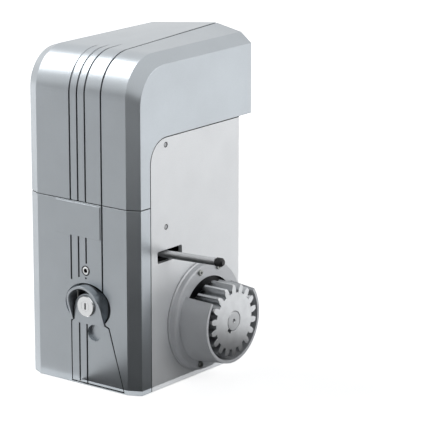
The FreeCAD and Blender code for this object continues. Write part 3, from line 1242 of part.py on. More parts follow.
def tie_holes(owner, low, length):
    """Four holes for the motor tie screws."""
    made = sketch(owner, "XY_Plane", low)
    for side in ("-", ""):
        for depth in ("-", ""):
            circle(made, (side + TIE_PLACE, depth + TIE_PLACE), TIE_SCREW)
    pocket(owner, made, length, backwards=True)


def electric_motor():
    """Stator, rotor, windings, shields, fan and tie screws on top of the worm barrel."""
    rim = "motor_radius - 6"
    lower = turned("motor_lower_shield", [
        ("12", "flange_height"), ("motor_radius", "flange_height"), ("motor_radius", STATOR_LOW),
        (rim, STATOR_LOW), (rim, "flange_height + 4"), ("12", "flange_height + 4")], MOTOR)
    tie_holes(lower, STATOR_LOW + " - 10", "20")
    keep(lower, "motor_lower_shield")
    stator = ring("motor_stator", "rotor_radius + 0.6", "motor_radius", STATOR_LOW, STATOR_TOP, MOTOR)
    tie_holes(stator, STATOR_LOW + " - 1", "stator_height + 2")
    keep(stator, "motor_stator")
    ends = [turned("winding_end", [
        ("rotor_radius + 2", seat), ("motor_radius - 8", seat), ("motor_radius - 10", seat + reach),
        ("rotor_radius + 3", seat + reach)], MOTOR)
        for seat, reach in ((STATOR_LOW, " - 9"), (STATOR_TOP, " + 9"))]
    keep(bundle("motor_windings", ends), "motor_windings")
    keep(ring("motor_rotor", "8.5", "rotor_radius", STATOR_LOW, STATOR_TOP, MOTOR), "motor_rotor")
    seat = END_SHIELD_BEARING
    upper = turned("motor_upper_shield", [
        ("16", seat), ("20", seat), ("20", STATOR_TOP + " + 13"), (rim, STATOR_TOP + " + 13"),
        (rim, STATOR_TOP), ("motor_radius", STATOR_TOP), ("motor_radius", STATOR_TOP + " + 18"),
        ("16", STATOR_TOP + " + 18")], MOTOR)
    tie_holes(upper, STATOR_TOP + " - 1", "30")
    keep(upper, "motor_upper_shield")
    bearing("motor_bearing", "7.5 + running_gap", "16", seat, STATOR_TOP + " + 18", MOTOR)
    screws = []
    for side in ("-", ""):
        for depth in ("-", ""):
            at = ("-motor_side + (%s%s)" % (side, TIE_PLACE), "%s + (%s%s)" % (WORM_Y, depth, TIE_PLACE),
                  STATOR_TOP + " + 18")
            screws.append(screw("tie_screw", at, UPRIGHT, "3", "2.6", TIE_SCREW,
                                "stator_height + 18 + 10", "1.4"))
    keep(bundle("motor_tie_screws", screws), "motor_tie_screws")
    hub_low = STATOR_TOP + " + 21"
    fan = ring("motor_fan", "7.5", "13", hub_low, hub_low + " + 16", MOTOR)
    disc = sketch(fan, "XY_Plane", hub_low)
    circle(disc, ("0", "0"), "motor_radius - 8")
    circle(disc, ("0", "0"), "12")
    pad(fan, disc, "2")
    blade = sketch(fan, "XY_Plane", hub_low + " + 1")
    axial_rectangle(blade, "12", "motor_radius - 9", "0.9", "0")
    around(fan, pad(fan, blade, "13"), "9")
    keep(fan, "motor_fan")


# ---------------------------------------------------------------- control gear

LIMIT_PIN = "3"


def limit_switch():
    """Sprung lever with its hub between two sensors on a base beside the slot."""
    pivot = ("lever_pivot_side", "-lever_pivot_front")
    middle = "((slot_low + slot_high)/2)"
    floor = middle + " - 8.4"
    at = pivot + (middle,)
    base = block("switch_base", ("lever_pivot_side - 16", "-slot_front - 4", floor + " - 8"),
                 ("body_width/2 - case_wall", "-slot_back + 2", floor))
    pin_hole = rod("pin_hole", LIMIT_PIN, "-17", "0", at)
    keep(without("limit_switch_body", base, [pin_hole]), "limit_switch_body")
    hub = ring("limit_lever_hub", LIMIT_PIN + " + running_gap", "9", "-8", "8", at)
    bore = sketch(hub, "YZ_Plane", "rod_start")
    circle(bore, ("0", "0"), "lever_radius")
    pocket(hub, bore, "20", backwards=True)
    lean = FreeCAD.Rotation(Vector(0, 0, 1), number("lever_yaw"))
    place(hub, at, lean)
    keep(hub, "limit_lever_hub")
    yaw = lean * TO_X
    keep(rod("limit_spring_rod", "lever_radius", "rod_start", "lever_length - tip_length", at, yaw),
         "limit_spring_rod")
    keep(turned("limit_rod_tip", [
        ("0", "lever_length - tip_length"), ("lever_radius + 0.4", "lever_length - tip_length"),
        ("lever_radius + 0.4", "lever_length - 2"), ("lever_radius - 1.4", "lever_length"),
        ("0", "lever_length")], at, yaw), "limit_rod_tip")
    keep(rod("limit_pivot_pin", LIMIT_PIN, "-16", "12", at), "limit_pivot_pin")
    keep(ring("limit_return_spring", LIMIT_PIN + " + fit_gap", "5.8", "8.4", "11.4", at),
         "limit_return_spring")
    sensors = [block("sensor", ("lever_pivot_side - 12", "-lever_pivot_front + " + near, floor),
                     ("lever_pivot_side + 8", "-lever_pivot_front + " + far, floor + " + 13"))
               for near, far in (("-20", "-10"), ("10", "20"))]
    keep(bundle("limit_sensors", sensors), "limit_sensors")


def power_supply():
    """Shelf behind the motor with the transformer and the run capacitor."""
    low = "flange_height"
    top = "(flange_height + shelf_plate)"
    front = "(output_back - 2)"
    rear = "(case_rear - case_wall - 0.4)"
    keep(block("equipment_bracket", ("-(body_width/2 - case_wall - 6)", front, low),
               ("body_width/2 - case_wall - 6", rear, top)), "equipment_bracket")
    left = "(body_width/2 - 117)"
    near = "(output_back + 15)"
    far = "(%s + 30)" % near
    core = body("transformer_core")
    face = sketch(core, "XZ_Plane", "-" + far)
    outline(face, [(left, top), (left + " + 60", top),
                   (left + " + 60", top + " + 50"), (left, top + " + 50")])
    for start, end in (("9", "21"), ("39", "51")):
        outline(face, [("%s + %s" % (left, start), top + " + 9"), ("%s + %s" % (left, end), top + " + 9"),
                       ("%s + %s" % (left, end), top + " + 41"), ("%s + %s" % (left, start), top + " + 41")])
    pad(core, face, "30")
    keep(core, "transformer_core")
    coil = body("transformer_coil")
    plan = sketch(coil, "XY_Plane", top + " + 9.5")
    for inset, depth in (("(9 + fit_gap)", "10"), ("(21 - fit_gap)", "fit_gap")):
        low_x, high_x = "%s + %s" % (left, inset), "%s + 60 - %s" % (left, inset)
        low_y, high_y = "%s - (%s)" % (near, depth), "%s + (%s)" % (far, depth)
        outline(plan, [(low_x, low_y), (high_x, low_y), (high_x, high_y), (low_x, high_y)])
    pad(coil, plan, "31")
    keep(coil, "transformer_coil")
    spot = ("body_width/2 - 30", "output_back + 30", "0")
    keep(turned("run_capacitor", [
        ("0", top), ("18", top), ("18", top + " + 72"), ("16.6", top + " + 74"), ("5", top + " + 74"),
        ("5", top + " + 78"), ("0", top + " + 78")], spot), "run_capacitor")
    clamp = ring("capacitor_clamp", "18", "19.4", top + " + 22", top + " + 34", spot)
    keep(clamp, "capacitor_clamp")


def electronics():
    """Tray held by its tabs between the cheeks, with the board and what stands on it."""
    side = "(body_width/2 - case_wall)"
    front = "(16 - seam_front)"
    rear = "(case_rear - case_wall - 8.5)"
    left = "(15 - body_width/2)"
    near = "(%s + 4)" % front
    sheet_metal = [block("tray_plate", ("-" + side, front, "tray_height"),
                         (side, rear, "tray_height + tray_plate"))]
    for low_x, high_x in (("-" + side, "tray_plate - " + side), (side + " - tray_plate", side)):
        for low_y, high_y in ((front, front + " + 14"), (rear + " - 14", rear)):
            sheet_metal.append(block("tray_tab", (low_x, low_y, "tray_height"),
                                     (high_x, high_y, "tray_height + 14")))
    keep(joined("board_tray", sheet_metal), "board_tray")
    deck = "(tray_height + tray_plate + 6)"
    top = "(%s + 1.6)" % deck
    posts = [rod("standoff", "3", "tray_height + tray_plate", deck, (across, along, "0"))
             for across in (left + " + 6", "-%s - 6" % left)
             for along in (near + " + 6", rear + " - 8")]
    keep(bundle("board_standoffs", posts), "board_standoffs")
    keep(block("control_board", (left, near, deck), ("-" + left, rear + " - 2", top)), "control_board")
    # Each group: left, front, width, depth and height of every block on the board.
    for label, blocks in (
            ("terminal_blocks", ((10, 108, 60, 10, 13), (10, 4, 90, 9, 13))),
            ("board_relays", ((12, 76, 18, 14, 16), (36, 76, 18, 14, 16))),
            ("board_heat_sink", ((80, 66, 30, 14, 24),)),
            ("radio_receiver", ((10, 32, 26, 20, 12),))):
        boxes = [block("board_block", ("%s + %d" % (left, x), "%s + %d" % (near, y), top),
                       ("%s + %d" % (left, x + wide), "%s + %d" % (near, y + deep), "%s + %d" % (top, tall)))
                 for x, y, wide, deep, tall in blocks]
        keep(bundle(label, boxes), label)


def finish():
    """Recompute, check every object and write one file per node."""
    doc.recompute()
    for thing in doc.Objects:
        if "Invalid" in thing.State or "Error" in thing.State:
            raise RuntimeError("%s (%s) could not be built" % (thing.Label, thing.Name))
    os.makedirs("parts", exist_ok=True)
    for thing in NODES:
        if thing.Shape.isNull() or not thing.Shape.isValid():
            raise RuntimeError("%s has no valid shape" % thing.Label)
        thing.Shape.exportStep("parts/%s.step" % thing.Label)


for build_piece in (upper_cover, lower_front_cover, cast_case, gearbox_closures, output_drive,
                    pinion_guard, worm_gear, release_gear, release_door, small_fittings,
                    electric_motor, limit_switch, power_supply, electronics, finish):
    build_piece()
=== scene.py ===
"""Sliding gate motor: its finishes, the wound limit spring and the studio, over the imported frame."""
import json
import math

import bpy
from bpy.props import FloatProperty, FloatVectorProperty, IntProperty, PointerProperty, StringProperty
from mathutils import Matrix, Vector


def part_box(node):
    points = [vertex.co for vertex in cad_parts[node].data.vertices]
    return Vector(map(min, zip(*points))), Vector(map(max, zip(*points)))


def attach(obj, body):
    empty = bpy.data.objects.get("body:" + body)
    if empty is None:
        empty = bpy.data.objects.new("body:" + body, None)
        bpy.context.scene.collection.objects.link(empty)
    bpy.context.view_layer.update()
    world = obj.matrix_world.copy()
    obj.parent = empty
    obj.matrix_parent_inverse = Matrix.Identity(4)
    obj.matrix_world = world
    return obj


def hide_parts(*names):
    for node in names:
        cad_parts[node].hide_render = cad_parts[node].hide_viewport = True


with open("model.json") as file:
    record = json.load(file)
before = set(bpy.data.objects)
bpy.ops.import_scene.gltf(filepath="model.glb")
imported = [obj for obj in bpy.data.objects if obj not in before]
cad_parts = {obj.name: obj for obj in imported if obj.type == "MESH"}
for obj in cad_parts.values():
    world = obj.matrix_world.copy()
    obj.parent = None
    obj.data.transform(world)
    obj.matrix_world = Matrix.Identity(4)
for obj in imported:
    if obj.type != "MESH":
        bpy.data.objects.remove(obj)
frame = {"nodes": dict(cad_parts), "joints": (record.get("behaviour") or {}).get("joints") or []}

bl_info = {
    "name": "Sliding Gate Motor",
    "version": (1, 0, 0),
    "blender": (4, 5, 0),
    "location": "View3D > Sidebar > Gate Motor",
    "description": "Dresses the frame of a sliding gate motor with its finishes and fine pieces",
    "category": "Object",
}

MM = 0.001
NODES = frame["nodes"]
JOINTS = {joint["name"]: joint for joint in frame["joints"]}
OUTPUT = JOINTS["output_turn"]["pos_m"]
MOTOR = JOINTS["motor_turn"]["pos_m"]
LIMIT = JOINTS["limit_swing"]["pos_m"]

# Length of one wave of a wave texture at scale 1
WAVE_LENGTH = 0.314

# Painted shade in the guard's hollow: near black within this radius of the shaft, and nearer to the case than
# this X
HOLLOW_RADIUS = 43.6 * MM
HOLLOW_END = 83.2 * MM
HOLLOW_SHADE_COLOUR = "#191A1C"
# Painted shade in the socket in the head of the cover screw
SOCKET_RADIUS = 2.4 * MM
SOCKET_SHADE_COLOUR = "#0C0C0D"
# Part of a cheek plug's radius that stays pale, inside a rim painted dark as the shade of the gap round the
# plug
PLUG_FACE = 0.68
PLUG_RIM_SHADE_COLOUR = "#2B2C2F"

# The wound spring begins this far out from the limit pivot, and its first winding this much of a
# pitch further
SPRING_START = 6 * MM
FIRST_WINDING = 0.6
# Radius of the wire as a part of its pitch: more than half, so that the windings join
WIRE_RADIUS = 0.52
# Points of the spring nearer than this to each other become one
MERGE = 0.001 * MM

FLOOR_SIZE = 9
# A little under the foot, so that the two faces never lie in one plane
FLOOR_DROP = 0.4 * MM
# Glow of the floor round the motor, and the distances from the middle over which it rises to white
FLOOR_GLOW = 0.74
SWEEP = (0.7, 2.2)
# Light that the white surroundings give to dull surfaces
AIR_LIGHT = 0.14

# Name, degrees round from the front, distance, height, degrees that the face looks up, width,
# depth, glow
FLAGS = (
    ("floor_flag", 56, 0.9, 0.005, 90, 1.5, 1.3, 0.0),
    ("grey_floor_flag", -36, 1.05, 0.003, 90, 1.3, 1.5, 0.72),
    ("standing_flag", 10, 1.42, 0.33, 0, 3.4, 0.6, 0.2),
    ("side_standing_flag", 76, 1.2, 0.3, 0, 1.5, 0.6, 0.0),
)
# Name, degrees round from the front, degrees up, size, watts
LAMPS = (
    ("gate_side_lamp", 112, 22, 1.3, 17),
    ("upper_left_lamp", -72, 46, 1.4, 24),
)
LAMP_DISTANCE = 2.4
LAMP_TARGET = Vector((0.0, 0.0, 0.17))


# ---------------------------------------------------------------- node helpers

def linear(code):
    """Linear colour from an sRGB hex code."""
    parts = [int(code[place:place + 2], 16) / 255 for place in (1, 3, 5)]
    return [part / 12.92 if part <= 0.04045 else ((part + 0.055) / 1.055) ** 2.4 for part in parts] + [1.0]


def node(owner, kind, settings=None, **links):
    """Add one shader node to a material or world. A link is (node, output), other values are set.

    A socket is named with underscores for spaces, or by its number after an underscore.
    """
    tree = owner.node_tree
    made = tree.nodes.new("ShaderNode" + kind)
    for name, value in (settings or {}).items():
        setattr(made, name, value)
    for name, value in links.items():
        key = int(name[1:]) if name[0] == "_" and name[1:].isdigit() else name.replace("_", " ")
        socket = made.inputs[key]
        if isinstance(value, tuple) and len(value) == 2 and isinstance(value[0], bpy.types.Node):
            tree.links.new(value[0].outputs[value[1]], socket)
        else:
            socket.default_value = value
    return made


def new_material(name):
    """Empty node material, and the link to its object coordinates."""
    material = bpy.data.materials.new(name)
    material.use_nodes = True
    material.node_tree.nodes.clear()
    return material, (node(material, "TexCoord"), "Object")


def surface(material, **links):
    """Principled shader on the material's output."""
    shader = node(material, "BsdfPrincipled", **links)
    node(material, "OutputMaterial", Surface=(shader, "BSDF"))
    return material


def principled(material):
    """The Principled shader of a finished material."""
    return next(made for made in material.node_tree.nodes if made.type == "BSDF_PRINCIPLED")


def maths(owner, operation, first, second):
    """Link to the result of one operation on two numbers."""
    return node(owner, "Math", {"operation": operation}, _0=first, _1=second), "Value"


def noise(material, vector, size_mm, detail):
    """Link to noise in patches of about the given size."""
    return node(material, "TexNoise", Vector=vector, Scale=1 / (size_mm * MM), Detail=detail), "Fac"


def waves(material, vector, kind, direction, pitch_mm, **links):
    """Link to bands or rings at the given distance from one another."""
    settings = {"wave_type": kind, kind.lower() + "_direction": direction}
    scale = WAVE_LENGTH / (pitch_mm * MM)
    return node(material, "TexWave", settings, Vector=vector, Scale=scale, **links), "Fac"


def ranged(material, value, low, high, middle=(0.3, 0.7)):
    """Link to the middle of a value's range, stretched from low to high."""
    return node(material, "MapRange", Value=value, From_Min=middle[0], From_Max=middle[1],
                To_Min=low, To_Max=high), "Result"


def brightened(material, colour, value):
    """Link to a colour times a value."""
    return node(material, "HueSaturation", Value=value, Color=colour), "Color"


def mottled(material, place, colour, spread, grain_mm):
    """Colour that drifts a little lighter and darker over patches of a given size."""
    patch = noise(material, place, grain_mm, detail=3.0)
    return brightened(material, colour, ranged(material, patch, 1 - spread, 1 + spread))


def painted_groove_shade(material, colour, reach_mm, depth):
    """Colour with painted shade: darker in grooves and joints of a given width, where shade falls."""
    open_sky = node(material, "AmbientOcclusion", {"samples": 8}, Distance=reach_mm * MM)
    light = ranged(material, (open_sky, "AO"), depth, 1.0, middle=(0.25, 0.62))
    return brightened(material, colour, light)


def uneven_gloss(material, place, rough, size_mm):
    """Link to a roughness that varies a little over patches of a given size."""
    patch = noise(material, place, size_mm, detail=4.0)
    return ranged(material, patch, rough - 0.02, rough + 0.04)


def soft_edge(material, radius_mm, samples=4):
    """Link to a normal that rounds the edges off."""
    return node(material, "Bevel", {"samples": samples}, Radius=radius_mm * MM), "Normal"


def bumped(material, height, distance_mm, strength, **links):
    """Link to a normal with a relief of the given height."""
    return node(material, "Bump", Height=height, Distance=distance_mm * MM, Strength=strength,
                **links), "Normal"


def moved(material, place, centre):
    """Link to the coordinates, measured from a centre."""
    return node(material, "Mapping", Vector=place, Location=[-value for value in centre]), "Vector"


def mark_round(material, centres, across, radius, code, outside=False, deeper=None):
    """Second colour within, or outside, a radius of the nearest centre.

    Distance counts along the axes that are 1 in across. With deeper, only where X is less than that.
    """
    place = (node(material, "TexCoord"), "Object")
    nearest = None
    for centre in centres:
        flat = node(material, "VectorMath", {"operation": "MULTIPLY"}, _0=moved(material, place, centre),
                    _1=across)
        far = (node(material, "VectorMath", {"operation": "LENGTH"}, _0=(flat, "Vector")), "Value")
        nearest = maths(material, "MINIMUM", nearest, far) if nearest else far
    mask = maths(material, "GREATER_THAN" if outside else "LESS_THAN", nearest, radius)
    if deeper:
        parts = node(material, "SeparateXYZ", Vector=place)
        mask = maths(material, "MULTIPLY", mask, maths(material, "LESS_THAN", (parts, "X"), deeper))
    colour = principled(material).inputs["Base Color"]
    first = (colour.links[0].from_node, "Color")
    mix = node(material, "MixRGB", Fac=mask, Color1=first, Color2=linear(code))
    material.node_tree.links.new(mix.outputs["Color"], colour)


# ---------------------------------------------------------------- object helpers

def dress(material, *names):
    """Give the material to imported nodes."""
    for name in names:
        packed = NODES[name]
        if not packed.material_slots:
            packed.data.materials.append(material)
        for slot in packed.material_slots:
            slot.material = material


def deselect():
    """Select nothing."""
    bpy.ops.object.select_all(action="DESELECT")


def freeze(piece, name, body, material):
    """Put a finished piece's place into its mesh and tie it to its body."""
    deselect()
    piece.select_set(True)
    bpy.context.view_layer.objects.active = piece
    bpy.ops.object.transform_apply(location=True, rotation=True, scale=True)
    piece.name = name
    piece.data.materials.append(material)
    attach(piece, body)


def add_card(name, size, **place):
    """Flat square with a name, selected and active."""
    deselect()
    bpy.ops.mesh.primitive_plane_add(size=size, **place)
    card = bpy.context.object
    card.name = name
    return card


def direction(azimuth, elevation):
    """Unit vector from degrees: azimuth from the front towards the gate side."""
    azimuth, elevation = math.radians(azimuth), math.radians(elevation)
    return Vector((math.cos(elevation) * math.sin(azimuth), -math.cos(elevation) * math.cos(azimuth),
                   math.sin(elevation)))


def facing(away):
    """Rotation that brings a card's face, or the back of a lamp or camera, round to a direction."""
    return away.to_track_quat("Z", "Y").to_euler()


# ---------------------------------------------------------------- finishes

def powder_paint(name, code, rough, peel_mm, flake, metallic=0.85):
    """Silver powder coat, baked on metal: satin, a slight peel, and fine bright flake in the grey."""
    material, place = new_material(name)
    grey = mottled(material, place, linear(code), spread=0.03, grain_mm=45)
    grit = noise(material, place, size_mm=0.55, detail=1.0)
    sparkle = ranged(material, grit, 1 - flake, 1 + flake, middle=(0.35, 0.65))
    # Painted shade: the grey goes darker in grooves, seams and joints
    grey = painted_groove_shade(material, brightened(material, grey, sparkle), reach_mm=3.5, depth=0.06)
    gloss = uneven_gloss(material, place, rough, size_mm=60)
    peel = noise(material, place, peel_mm, detail=2.0)
    bump = bumped(material, peel, distance_mm=0.05, strength=0.35,
                  Normal=soft_edge(material, radius_mm=0.7, samples=6))
    return surface(material, Base_Color=grey, Roughness=gloss, Normal=bump, Metallic=metallic)


def machined_metal(name, code, rough, axis, centre, pitch_mm):
    """Turned or milled metal: fine rings about the turning axis, a shade lighter and darker."""
    material, place = new_material(name)
    colour = mottled(material, place, linear(code), spread=0.05, grain_mm=9)
    about = moved(material, place, centre)
    rings = waves(material, about, "RINGS", axis, pitch_mm, Distortion=0.6, Detail=1.0)
    gloss = uneven_gloss(material, place, rough, size_mm=4)
    bump = bumped(material, rings, distance_mm=0.02, strength=0.35,
                  Normal=soft_edge(material, radius_mm=0.35))
    return surface(material, Base_Color=colour, Roughness=gloss, Normal=bump, Metallic=1.0)


def plated_sheet(name, code, rough):
    """Zinc plated or rolled sheet: soft cloudy sheen with faint straight rolling marks."""
    material, place = new_material(name)
    colour = mottled(material, place, linear(code), spread=0.07, grain_mm=12)
    rolled = (node(material, "Mapping", Vector=place, Scale=(1, 12, 1)), "Vector")
    lines = noise(material, rolled, size_mm=6, detail=3.0)
    bump = bumped(material, lines, distance_mm=0.03, strength=0.3)
    return surface(material, Base_Color=colour, Roughness=rough, Normal=bump, Metallic=0.9)


def moulded_plastic(name, code, rough, grain_mm):
    """Moulded nylon, rubber or resin: dull, with the fine even grain of its mould."""
    material, place = new_material(name)
    colour = mottled(material, place, linear(code), spread=0.08, grain_mm=6)
    # Painted shade: the colour goes darker in grooves and joints
    colour = painted_groove_shade(material, colour, reach_mm=2.0, depth=0.1)
    grain = (node(material, "TexVoronoi", Vector=place, Scale=1 / (grain_mm * MM)), "Distance")
    bump = bumped(material, grain, distance_mm=0.05, strength=0.4,
                  Normal=soft_edge(material, radius_mm=0.3))
    return surface(material, Base_Color=colour, Roughness=rough, Normal=bump)


def laminated_steel(name, code):
    """Stacked varnished sheets: thin dark lines across the stack, drawn 1.4 mm apart to show."""
    material, place = new_material(name)
    sheets = waves(material, place, "BANDS", "Z", pitch_mm=1.4)
    colour = (node(material, "MixRGB", Fac=sheets, Color1=linear("#1C1D20"), Color2=linear(code)), "Color")
    bump = bumped(material, sheets, distance_mm=0.2, strength=0.5)
    return surface(material, Base_Color=colour, Roughness=0.42, Normal=bump, Metallic=0.7)


def enamelled_wire(name, code):
    """Wound enamelled copper: strands side by side, drawn 0.9 mm thick, under a clear varnish."""
    material, place = new_material(name)
    strands = waves(material, place, "BANDS", "Z", pitch_mm=0.9, Distortion=1.5)
    colour = (node(material, "MixRGB", Fac=strands, Color1=linear("#4A1F0E"), Color2=linear(code)), "Color")
    bump = bumped(material, strands, distance_mm=0.4, strength=0.8)
    return surface(material, Base_Color=colour, Roughness=0.3, Normal=bump, Metallic=0.6)


def lacquered_board(name, code):
    """Glass-fibre board under green solder lacquer: lighter copper tracks show through."""
    material, place = new_material(name)
    tracks = node(material, "TexBrick", Vector=place, Scale=1 / (16 * MM), Color1=linear(code),
                  Color2=linear(code), Mortar=linear("#3E8A50"), Mortar_Size=0.03)
    bump = bumped(material, (tracks, "Fac"), distance_mm=0.05, strength=0.5)
    return surface(material, Base_Color=(tracks, "Color"), Roughness=0.28, Normal=bump)


def chrome_plate(name):
    """Nickel-chrome plating: mirror bright with hairline wiping marks."""
    material, place = new_material(name)
    wiped = (node(material, "Mapping", Vector=place, Scale=(1, 1, 9), Rotation=(0, 0.6, 0)), "Vector")
    hair = noise(material, wiped, size_mm=3, detail=5.0)
    gloss = ranged(material, hair, 0.12, 0.24)
    # Painted shade: the chrome goes nearly black in grooves and joints
    colour = painted_groove_shade(material, linear("#EFF1F2"), reach_mm=2.5, depth=0.02)
    edge = soft_edge(material, radius_mm=0.4)
    return surface(material, Base_Color=colour, Roughness=gloss, Normal=edge, Metallic=1.0)


# ---------------------------------------------------------------- settings

class PaintSettings(bpy.types.PropertyGroup):
    cover: StringProperty(name="Cover paint", description="sRGB code of the two covers and the door",
                          default="#B8BEC3")
    case: StringProperty(name="Case paint", description="sRGB code of the cast case", default="#E8EAEC")
    guard: StringProperty(name="Guard paint", description="sRGB code of the pinion guard",
                          default="#D6D8DB")
    roughness: FloatProperty(name="Roughness", description="Cover paint; case and guard are duller",
                             default=0.31, min=0.1, max=0.9)


class SpringSettings(bpy.types.PropertyGroup):
    wire: FloatProperty(name="Wire", description="Thickness of the wire, and pitch of the windings",
                        default=1.5 * MM, unit="LENGTH", precision=5)
    steps: IntProperty(name="Steps", description="Segments in one turn of the wire", default=14, min=6)


class StudioSettings(bpy.types.PropertyGroup):
    azimuth: FloatProperty(name="Azimuth", description="Camera turned from the front towards the gate side",
                           default=math.radians(37.73), subtype="ANGLE")
    elevation: FloatProperty(name="Elevation", description="Camera above the horizon",
                             default=math.radians(14.6), subtype="ANGLE")
    distance: FloatProperty(name="Distance", description="Camera to the point that it looks at",
                            default=2.6275, unit="LENGTH")
    lens: FloatProperty(name="Lens", description="Focal length of the camera in millimetres", default=214.9)
    target: FloatVectorProperty(name="Target", description="Point that the camera looks at",
                                default=(0.1328, -0.035, 0.1988), size=3, subtype="TRANSLATION")


# ---------------------------------------------------------------- pieces

class GATEMOTOR_OT_paint(bpy.types.Operator):
    """Silver paint on the case, the covers, the door and the guard"""
    bl_idname = "gatemotor.paint"
    bl_label = "Paint Case and Covers"

    def execute(self, context):
        settings = context.scene.gatemotor_paint
        rough = settings.roughness
        cover = powder_paint("silver_paint_on_covers", settings.cover, rough, peel_mm=2.6, flake=0.03)
        case = powder_paint("silver_paint_on_cast_aluminium", settings.case, rough + 0.06, peel_mm=3.4,
                            flake=0.02, metallic=0.45)
        guard = powder_paint("silver_paint_on_guard", settings.guard, rough + 0.1, peel_mm=2.6,
                             flake=0.03, metallic=0.2)
        # Painted shade: the guard's hollow round the shaft is painted near black
        mark_round(guard, [OUTPUT], (0, 1, 1), HOLLOW_RADIUS, HOLLOW_SHADE_COLOUR, deeper=HOLLOW_END)
        dress(cover, "upper_cover", "lower_front_cover", "release_door")
        dress(case, "gearbox_housing", "gearbox_cover")
        dress(guard, "pinion_guard")
        return {"FINISHED"}


class GATEMOTOR_OT_drive(bpy.types.Operator):
    """Machined, cast and plated metal on the drive train, and its seals and plugs"""
    bl_idname = "gatemotor.drive"
    bl_label = "Finish Drive Train"

    def execute(self, context):
        dress(machined_metal("milled_steel_pinion", "#C9CBCD", 0.3, "X", OUTPUT, pitch_mm=0.8), "pinion")
        dress(machined_metal("turned_steel_shafts", "#B4B6B8", 0.3, "X", OUTPUT, pitch_mm=0.7),
              "output_shaft", "pinion_key", "clutch_key", "clutch_sleeve")
        dress(machined_metal("ground_bearing_steel", "#C9CBCD", 0.2, "X", OUTPUT, pitch_mm=0.5),
              "output_bearing_left", "output_bearing_right", "bearing_circlip")
        dress(machined_metal("ground_worm_steel", "#B2B3B4", 0.24, "Z", MOTOR, pitch_mm=0.6),
              "worm_shaft", "worm_bearing_lower", "worm_bearing_upper", "motor_bearing")
        dress(machined_metal("cast_wheel_bronze", "#B98E4E", 0.36, "X", OUTPUT, pitch_mm=1.1), "worm_wheel")
        dress(moulded_plastic("nitrile_rubber", "#17181A", rough=0.62, grain_mm=0.9),
              "shaft_seal", "cable_grommet", "cover_screw_ring")
        plugs = moulded_plastic("grey_nylon", "#D4D6D8", rough=0.4, grain_mm=0.9)
        low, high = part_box("cheek_plugs")
        radius = (high[1] - low[1]) / 2
        middles = [(0, low[1] + radius, height) for height in (low[2] + radius, high[2] - radius)]
        # Painted shade: the rim of each plug is painted dark for the gap round it
        mark_round(plugs, middles, (0, 1, 1), radius * PLUG_FACE, PLUG_RIM_SHADE_COLOUR, outside=True)
        dress(plugs, "cheek_plugs")
        return {"FINISHED"}


class GATEMOTOR_OT_motor(bpy.types.Operator):
    """Laminations, copper, alloy, and plated sheet and screws"""
    bl_idname = "gatemotor.motor"
    bl_label = "Finish Motor and Supply"

    def execute(self, context):
        dress(laminated_steel("varnished_laminations", "#5A5D63"),
              "motor_stator", "motor_rotor", "transformer_core")
        dress(enamelled_wire("enamelled_copper", "#B5653A"), "motor_windings", "transformer_coil")
        dress(machined_metal("die_cast_alloy", "#B9BBBE", 0.4, "Z", MOTOR, pitch_mm=2.4),
              "motor_lower_shield", "motor_upper_shield", "board_heat_sink", "run_capacitor")
        dress(plated_sheet("zinc_plated_sheet", "#B5B7B2", rough=0.34),
              "equipment_bracket", "capacitor_clamp", "board_tray", "release_lever", "release_post",
              "door_cam", "lock_cam")
        dress(plated_sheet("zinc_plated_screws", "#A9ABA8", rough=0.3),
              "gearbox_cover_screws", "guard_screws", "motor_tie_screws", "drain_plug",
              "door_hinge_pins", "limit_pivot_pin")
        return {"FINISHED"}


class GATEMOTOR_OT_controls(bpy.types.Operator):
    """Board, terminals and moulded black pieces of the control gear"""
    bl_idname = "gatemotor.controls"
    bl_label = "Finish Control Gear"

    def execute(self, context):
        dress(lacquered_board("lacquered_circuit_board", "#14502B"), "control_board")
        dress(moulded_plastic("green_terminal_resin", "#2E7A3C", rough=0.45, grain_mm=0.8), "terminal_blocks")
        dress(moulded_plastic("black_nylon", "#1B1C1E", rough=0.5, grain_mm=0.8),
              "motor_fan", "limit_switch_body", "limit_lever_hub", "limit_rod_tip", "limit_sensors",
              "board_relays", "radio_receiver", "board_standoffs")
        return {"FINISHED"}


class GATEMOTOR_OT_lock(bpy.types.Operator):
    """Chrome on the lock and the cover screw, with painted shade in the screw's socket"""
    bl_idname = "gatemotor.lock"
    bl_label = "Finish Lock and Cover Screw"

    def execute(self, context):
        dress(chrome_plate("chrome_plate"), "lock_barrel", "lock_plug")
        screw = chrome_plate("chrome_plate_on_screw")
        low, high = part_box("cover_screw")
        middle = ((low[0] + high[0]) / 2, 0, (low[2] + high[2]) / 2)
        # Painted shade: the socket in the screw head is painted near black
        mark_round(screw, [middle], (1, 0, 1), SOCKET_RADIUS, SOCKET_SHADE_COLOUR)
        dress(screw, "cover_screw")
        return {"FINISHED"}


